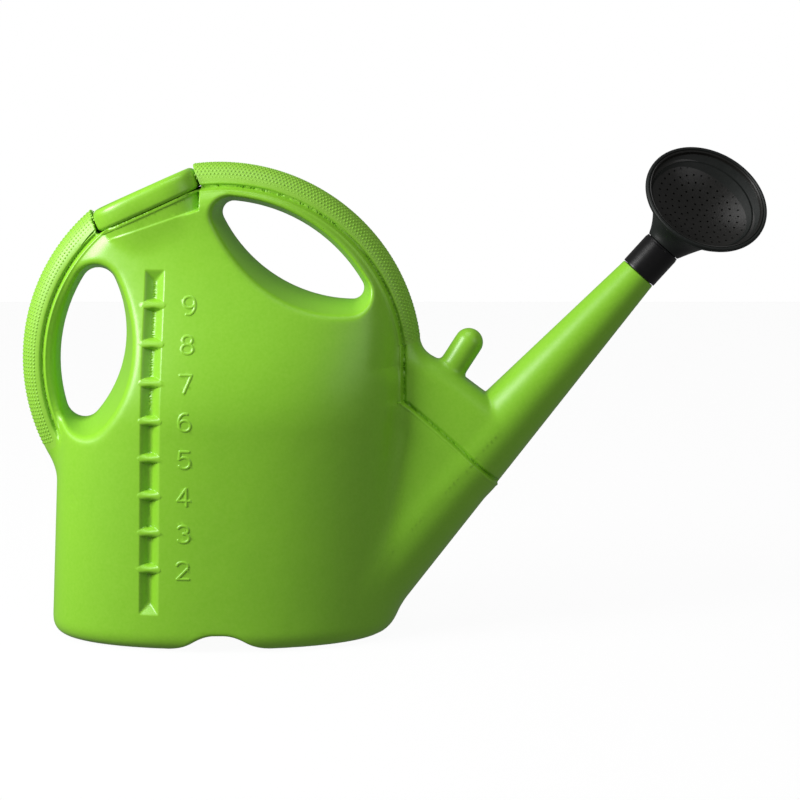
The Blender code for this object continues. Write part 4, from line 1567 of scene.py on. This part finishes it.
@dataclass(frozen=True)
class Rose:
    """Sleeve, bell and dished, perforated face on the spout's spigot."""

    place: Place
    gap: float = 0.3
    sleeve_radius: float = 15.6
    sleeve_length: float = 28.3
    bore: float = 12.3
    reach: float = 50.7
    rim_radius: float = 50.5
    bead: float = 3.0
    tilt: float = math.radians(49.7)
    turn: float = math.radians(70.9)
    flare: float = 1.25
    back_flare: float = 0.65
    bell_wall: float = 2.0
    bell_rows: int = 30
    plug: float = 5.5
    face_radius: float = 47.2
    rim_drop: float = 3.4
    dish: float = 11.5
    plate: float = 1.6
    hole_radius: float = 0.85
    hole_pitch: float = 6.1
    hole_rings: int = 6
    sides: int = 128

    def axis_matrix(self) -> Matrix:
        """World frame of the spout's tip: Z up the spout, X square to it and up."""
        along = Vector(self.place.axis())
        upward = Vector((-along.z, 0, along.x))
        across = along.cross(upward)
        matrix = Matrix((upward, across, along)).transposed().to_4x4()
        world = self.place.to_world(self.place.tip())
        return Matrix.Translation(Vector(world)) @ matrix @ Matrix.Scale(MM, 4)

    def turned_matrix(self) -> Matrix:
        """The tip's frame turned to where the rose rests."""
        return self.axis_matrix() @ Matrix.Rotation(self.turn, 4, "Z")

    def face_matrix(self) -> Matrix:
        """The rim's frame: its centre, with Z out of the face."""
        lift = Matrix.Translation((0, 0, self.sleeve_length + self.reach))
        return self.turned_matrix() @ lift @ Matrix.Rotation(self.tilt, 4, "Y")

    def turned(self, name: str, corners: Row, matrix: Matrix) -> bpy.types.Mesh:
        """A ring of revolution with rounded corners, in world metres."""
        rows = turned_rows(bend_profile(corners), matrix, self.sides)
        return loft(name, rows, np.asarray)

    def sleeve(self) -> bpy.types.Mesh:
        """The glossy sleeve with a soft chamfer at both ends and a fine step."""
        r, length, bore = self.sleeve_radius, self.sleeve_length, self.bore
        corners = [(r - 0.1, self.gap, 0.4), (r, 1.6, 0.5), (r, length - 2.2, 0.4),
                   (r - 0.35, length - 1.7, 0.3), (r - 0.35, length - 0.4, 0.4),
                   (r - 1.0, length, 0.4), (bore, length, 0.4), (bore, self.gap, 0.4)]
        return self.turned("sleeve_skin", corners, self.axis_matrix())

    def spigot(self, radius: float, bore: float, length: float) -> bpy.types.Mesh:
        """The spigot inside the sleeve, seen when the rose is pulled off.

        Args:
            radius: Outside radius.
            bore: Inside radius.
            length: How far it stands out of the shoulder.

        Returns:
            Its mesh.
        """
        corners = [(radius, -16.0), (radius, 5.0), (radius + 0.2, 5.8, 0.5), (radius, 6.6),
                   (radius, 13.0), (radius + 0.2, 13.8, 0.5), (radius, 14.6),
                   (radius, length - 1.6, 0.8), (radius - 1.4, length, 0.5),
                   (bore, length, 0.6), (bore, -16.0)]
        return self.turned("spigot_skin", corners, self.axis_matrix())

    def bell_outline(self, share: float, offset: float) -> Array:
        """One outline between the sleeve's circle and the tilted rim."""
        turn = np.arange(self.sides) * 2 * math.pi / self.sides
        back = np.maximum(-np.cos(turn), 0)
        widening = (share ** (self.flare + (self.back_flare - self.flare) * back))[:, None]
        spoke = np.stack([np.cos(turn), np.sin(turn), np.zeros(self.sides)], 1)
        tilt = np.array(Matrix.Rotation(self.tilt, 3, "Y"))
        start = (self.sleeve_radius - 0.3 - offset) * spoke
        stop = (self.rim_radius - self.bead / 2 - offset) * (spoke @ tilt.T)
        row = start + widening * (stop - start)
        row[:, 2] += self.sleeve_length + self.gap + (self.reach - self.gap) * share
        return row

    def in_world(self, row: Array, matrix: Matrix) -> Array:
        """Rows in a frame's millimetres as world metres."""
        flat = np.concatenate([row, np.ones((len(row), 1))], 1)
        return (flat @ np.array(matrix).T)[:, :3]

    def bell(self) -> bpy.types.Mesh:
        """The bell: plug, flaring wall, beaded rim with a seam, and its inside."""
        turned, face = self.turned_matrix(), self.face_matrix()
        rows = []
        plug_radius = self.bore - 0.3
        for radius, height in ((plug_radius - 1.9, -self.plug), (plug_radius - 0.4, -self.plug),
                               (plug_radius, 0.6 - self.plug), (plug_radius, 0.3),
                               (self.sleeve_radius - 0.7, 0.3)):
            rows += turned_rows([(radius, self.sleeve_length + height)], turned, self.sides)
        for i in range(1, self.bell_rows):
            rows.append(self.in_world(self.bell_outline(i / self.bell_rows, 0.0), turned))
        rim = self.rim_radius
        rim_points = [(rim - 2.2, -3.4), (rim - 0.7, -2.6, 1.0), (rim, -1.1, 0.8), (rim - 0.05, -0.35),
                      (rim - 0.45, -0.1), (rim - 0.05, 0.15), (rim - 0.25, 1.3, 1.0),
                      (rim - 1.7, 2.0, 1.2), (rim - 2.9, 1.2, 0.8), (rim - 3.1, -0.6)]
        rim_points = bend_profile(rim_points)
        rows += turned_rows(rim_points, face, self.sides)
        inner = [(self.face_radius - 0.4, -self.rim_drop - 3.0)]
        rows += turned_rows(inner, face, self.sides)
        for i in range(self.bell_rows - 4, 1, -2):
            share = i / self.bell_rows
            rows.append(self.in_world(self.bell_outline(share, self.bell_wall), turned))
        return loft("bell_skin", rows, np.asarray)

    def face(self, finish: bpy.types.Material) -> bpy.types.Mesh:
        """The dished face with its rings of holes, cut by Geometry Nodes.

        Args:
            finish: The face's material.

        Returns:
            Its mesh in world metres.
        """
        graph, given = new_layout("rose_holes", {
            "Plate": "Object", "Rings": "Int", "Pitch": "Float", "Hole Radius": "Float",
            "Finish": "Material"})
        rings = given["Rings"]
        count = rings * (rings + 1.0) * 3.0 + 1.0
        index = graph.wire(graph.node("InputIndex"))
        ring = ((index * 12.0 - 3.0).math("MAXIMUM", 0.0).math("SQRT") + 3.0) / 6.0
        ring = ring.math("FLOOR") * index.math("MINIMUM", 1.0)
        first = ring * (ring - 1.0) * 3.0 + 1.0
        angle = (index - first) / (ring * 6.0).math("MAXIMUM", 1.0) * (2 * math.pi) + ring * 0.35
        radius = ring * given["Pitch"]
        spot = graph.node("ShaderNodeCombineXYZ", {}, {
            0: radius * angle.math("COSINE"), 1: radius * angle.math("SINE"), 2: 0.0})
        line = graph.node("MeshLine", {}, {"Count": count})
        moved = graph.node("SetPosition", {}, {"Geometry": graph.wire(line),
                                               "Position": graph.wire(spot)})
        drill = graph.node("MeshCylinder", {}, {"Vertices": 12, "Radius": given["Hole Radius"],
                                                "Depth": 60.0})
        copies = graph.node("InstanceOnPoints", {}, {"Points": graph.wire(moved),
                                                     "Instance": graph.wire(drill)})
        real = graph.node("RealizeInstances", {}, {"Geometry": graph.wire(copies)})
        plate = graph.node("ObjectInfo", {}, {"Object": given["Plate"]})
        cut = graph.node("MeshBoolean", {"operation": "DIFFERENCE", "solver": "EXACT"},
                         {"Mesh 1": graph.wire(plate, "Geometry"), "Mesh 2": graph.wire(real)})
        done = graph.node("SetMaterial", {}, {"Geometry": graph.wire(cut),
                                              "Material": given["Finish"]})
        graph.node("NodeGroupOutput", {}, {"Geometry": graph.wire(done)})
        blank = add_object("face_blank", self.face_blank())
        mesh = run_tree("rose_face_detail", graph.tree, {
            "Plate": blank, "Rings": self.hole_rings, "Pitch": self.hole_pitch,
            "Hole Radius": self.hole_radius, "Finish": finish})
        bpy.data.objects.remove(blank)
        mesh.transform(self.face_matrix())
        return mesh

    def face_blank(self) -> bpy.types.Mesh:
        """The face before its holes: a sloping wall and a dish, in its own frame."""
        rim, drop, plate = self.face_radius, self.rim_drop, self.plate
        foot = rim - 2.2
        upper = [(rim, 0.9), (rim - 0.5, 1.1), (rim - 1.3, 0.3), (foot + 0.6, -drop + 1.0),
                 (foot - 0.4, -drop - 0.3)]
        steps = 16
        for i in range(1, steps):
            share = 1 - i / steps
            upper.append(((foot - 0.4) * share, -drop - 0.3 - self.dish * (1 - share * share)))
        lower = [(radius, height - plate) for radius, height in reversed(upper[3:])]
        rows = turned_rows(upper, Matrix.Identity(4), self.sides)
        under = turned_rows(lower + [(rim, -2.0)], Matrix.Identity(4), self.sides)
        shape = bmesh.new()
        verts = [[shape.verts.new(p) for p in row] for row in rows + under]
        top = shape.verts.new((0, 0, -drop - 0.3 - self.dish))
        bottom = shape.verts.new((0, 0, -drop - 0.3 - self.dish - plate))
        turn = len(rows)
        count = self.sides
        for low, high in zip(verts[:turn], verts[1:turn]):
            join_rows(shape, low, high)
        for low, high in zip(verts[turn:], verts[turn + 1:]):
            join_rows(shape, low, high)
        for i in range(count):
            j = (i + 1) % count
            shape.faces.new((verts[turn - 1][i], verts[turn - 1][j], top))
            shape.faces.new((verts[turn][j], verts[turn][i], bottom))
            shape.faces.new((verts[-1][i], verts[-1][j], verts[0][j], verts[0][i]))
        mesh = finish_shape("face_blank", shape)
        mesh.shade_smooth()
        return mesh


# ---------------------------------------------------------------- studio

@dataclass(frozen=True)
class Studio:
    """A pale floor, soft light and the camera."""

    middle: tuple[float, float, float] = (0.00485, 0.0, 0.1882)
    distance: float = 1.76
    elevation: float = math.radians(9.5)
    lens: float = 99.0
    room_light: float = 0.17
    floor_reach: float = 1.1

    def camera(self) -> None:
        """Stand the camera in front, a little above."""
        data = bpy.data.cameras.new("camera")
        data.lens = self.lens
        data.sensor_width = 36.0
        item = add_object("camera", data)
        x, y, z = self.middle
        item.location = (x, y - self.distance * math.cos(self.elevation),
                         z + self.distance * math.sin(self.elevation))
        item.rotation_euler = (math.pi / 2 - self.elevation, 0, 0)
        bpy.context.scene.camera = item

    def lamp(self, name: str, place: tuple, size: float, power: float,
             aim: tuple = (0.0, 0.0, 0.18)) -> None:
        """A square soft box aimed at the can.

        Args:
            name: The lamp's name.
            place: Where it hangs, in metres.
            size: Its side.
            power: Its power in watts.
            aim: What it points at.
        """
        data = bpy.data.lights.new(name, "AREA")
        data.size = size
        data.energy = power
        item = add_object(name, data)
        item.location = place
        item.rotation_euler = (Vector(aim) - Vector(place)).to_track_quat("-Z", "Y").to_euler()

    def floor(self) -> None:
        """A plain pale floor that fades into the room."""
        far = 2 * self.floor_reach
        mesh = mesh_of("floor", [(-far, -far, 0), (far, -far, 0), (far, far, 0), (-far, far, 0)],
                       [(0, 1, 2, 3)])
        item = add_object("floor", mesh)
        material = bpy.data.materials.new("pale_floor")
        material.use_nodes = True
        graph = Graph(material.node_tree, "ShaderNode")
        place = graph.wire(graph.node("TexCoord"), "Object")
        span = graph.vector("LENGTH", place)
        fade = graph.node("MapRange", {"interpolation_type": "SMOOTHSTEP"}, {
            "Value": span, "From Min": 0.25 * self.floor_reach, "From Max": self.floor_reach,
            "To Min": 1.0, "To Max": 0.0})
        shader = graph.node("BsdfPrincipled", {}, {"Alpha": graph.wire(fade)})
        shader.inputs["Base Color"].default_value = (0.9, 0.9, 0.9, 1)
        shader.inputs["Roughness"].default_value = 0.9
        shader.inputs["Specular IOR Level"].default_value = 0.1
        graph.node("OutputMaterial", {}, {"Surface": graph.wire(shader)})
        mesh.materials.append(material)
        item.location = (0, 0, -0.0005)

    def world(self) -> None:
        """An even white room."""
        world = bpy.data.worlds.new("room")
        world.use_nodes = True
        graph = Graph(world.node_tree, "ShaderNode")
        seen = graph.wire(graph.node("LightPath"), "Is Camera Ray")
        strength = self.room_light + seen * (1.0 - self.room_light)
        back = graph.node("Background", {}, {"Color": (1, 1, 1, 1), "Strength": strength})
        graph.node("OutputWorld", {}, {"Surface": graph.wire(back)})
        bpy.context.scene.world = world
        bpy.context.scene.view_settings.view_transform = "Standard"

    def build(self) -> None:
        """Set up the whole studio."""
        self.camera()
        self.lamp("key", (-1.3, -0.62, 0.95), 0.7, 33.0, (-0.05, 0.0, 0.2))
        self.lamp("top", (-0.15, -0.35, 2.1), 1.2, 11.0)
        self.lamp("fill", (1.7, -1.5, 1.1), 1.2, 6.5)
        self.floor()
        self.world()


# ---------------------------------------------------------------- the whole can

@dataclass(frozen=True)
class Piece:
    """A finished piece: what it rides on, stands for and is finished in."""

    name: str
    body: str
    slot: str
    replaces: tuple[str, ...] = ()

    def place(self, mesh: bpy.types.Mesh, finish: bpy.types.Material,
              angle: float = 38.0) -> bpy.types.Object:
        """Put the piece on the frame and report it.

        Args:
            mesh: Its mesh, in world metres.
            finish: Its material.
            angle: Edges sharper than this stay sharp.

        Returns:
            The object.
        """
        item = new_piece(self.name, mesh, finish, angle)
        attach(item, self.body)
        if self.replaces:
            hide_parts(*self.replaces)
        LOG.info("%s rides on %s with %d faces", self.name, self.body, len(mesh.polygons))
        return item


def main() -> None:
    """Build the can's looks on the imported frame."""
    logging.basicConfig(level=logging.INFO, format="%(message)s")
    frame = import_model()
    place = read_place(frame["joints"])
    low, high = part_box("tank")
    Studio().build()
    finish = {item: item.value.make() for item in Finish}

    body = GreenBody(place, tank_width=(high.y - low.y) / MM)
    skins = body.build()
    crease = 50.0
    for name, slot, look in (("tank", "tank", Finish.GREEN), ("spout", "spout", Finish.GREEN),
                             ("front_grip", "grip", Finish.GRIP),
                             ("rear_grip", "grip", Finish.GRIP)):
        piece = Piece(name + "_moulding", "can", slot, (name,))
        piece.place(skins[name], finish[look], crease)
    Piece("filler_collar_roll", "can", "collar", ("filler_collar",)).place(
        Collar(body).build(), finish[Finish.GREEN])
    collar_turn = math.pi / 2 + body.neck_lean
    half_gap = math.radians(16.5)
    margin = 0.02
    for dots in (GripDots("front_grip_dots", body, body.front_end + margin,
                          collar_turn - half_gap, 0.5),
                 GripDots("rear_grip_dots", body, collar_turn + half_gap,
                          body.rear_end - margin, 0.0)):
        Piece(dots.name, "can", "grip").place(dots.build(finish[Finish.GRIP]), finish[Finish.GRIP])

    rose = Rose(place)
    Piece("spout_spigot", "can", "spout").place(
        rose.spigot(body.spigot_radius, body.spigot_bore, body.spigot_length),
        finish[Finish.GREEN])
    Piece("rose_sleeve_detail", "rose_neck", "rose_sleeve", ("rose_sleeve",)).place(
        rose.sleeve(), finish[Finish.GLOSS])
    Piece("rose_bell_detail", "rose", "rose", ("rose_bell",)).place(
        rose.bell(), finish[Finish.BELL])
    Piece("rose_face_detail", "rose", "rose", ("rose_face",)).place(
        rose.face(finish[Finish.FACE]), finish[Finish.FACE])


if __name__ == "__main__":
    main()
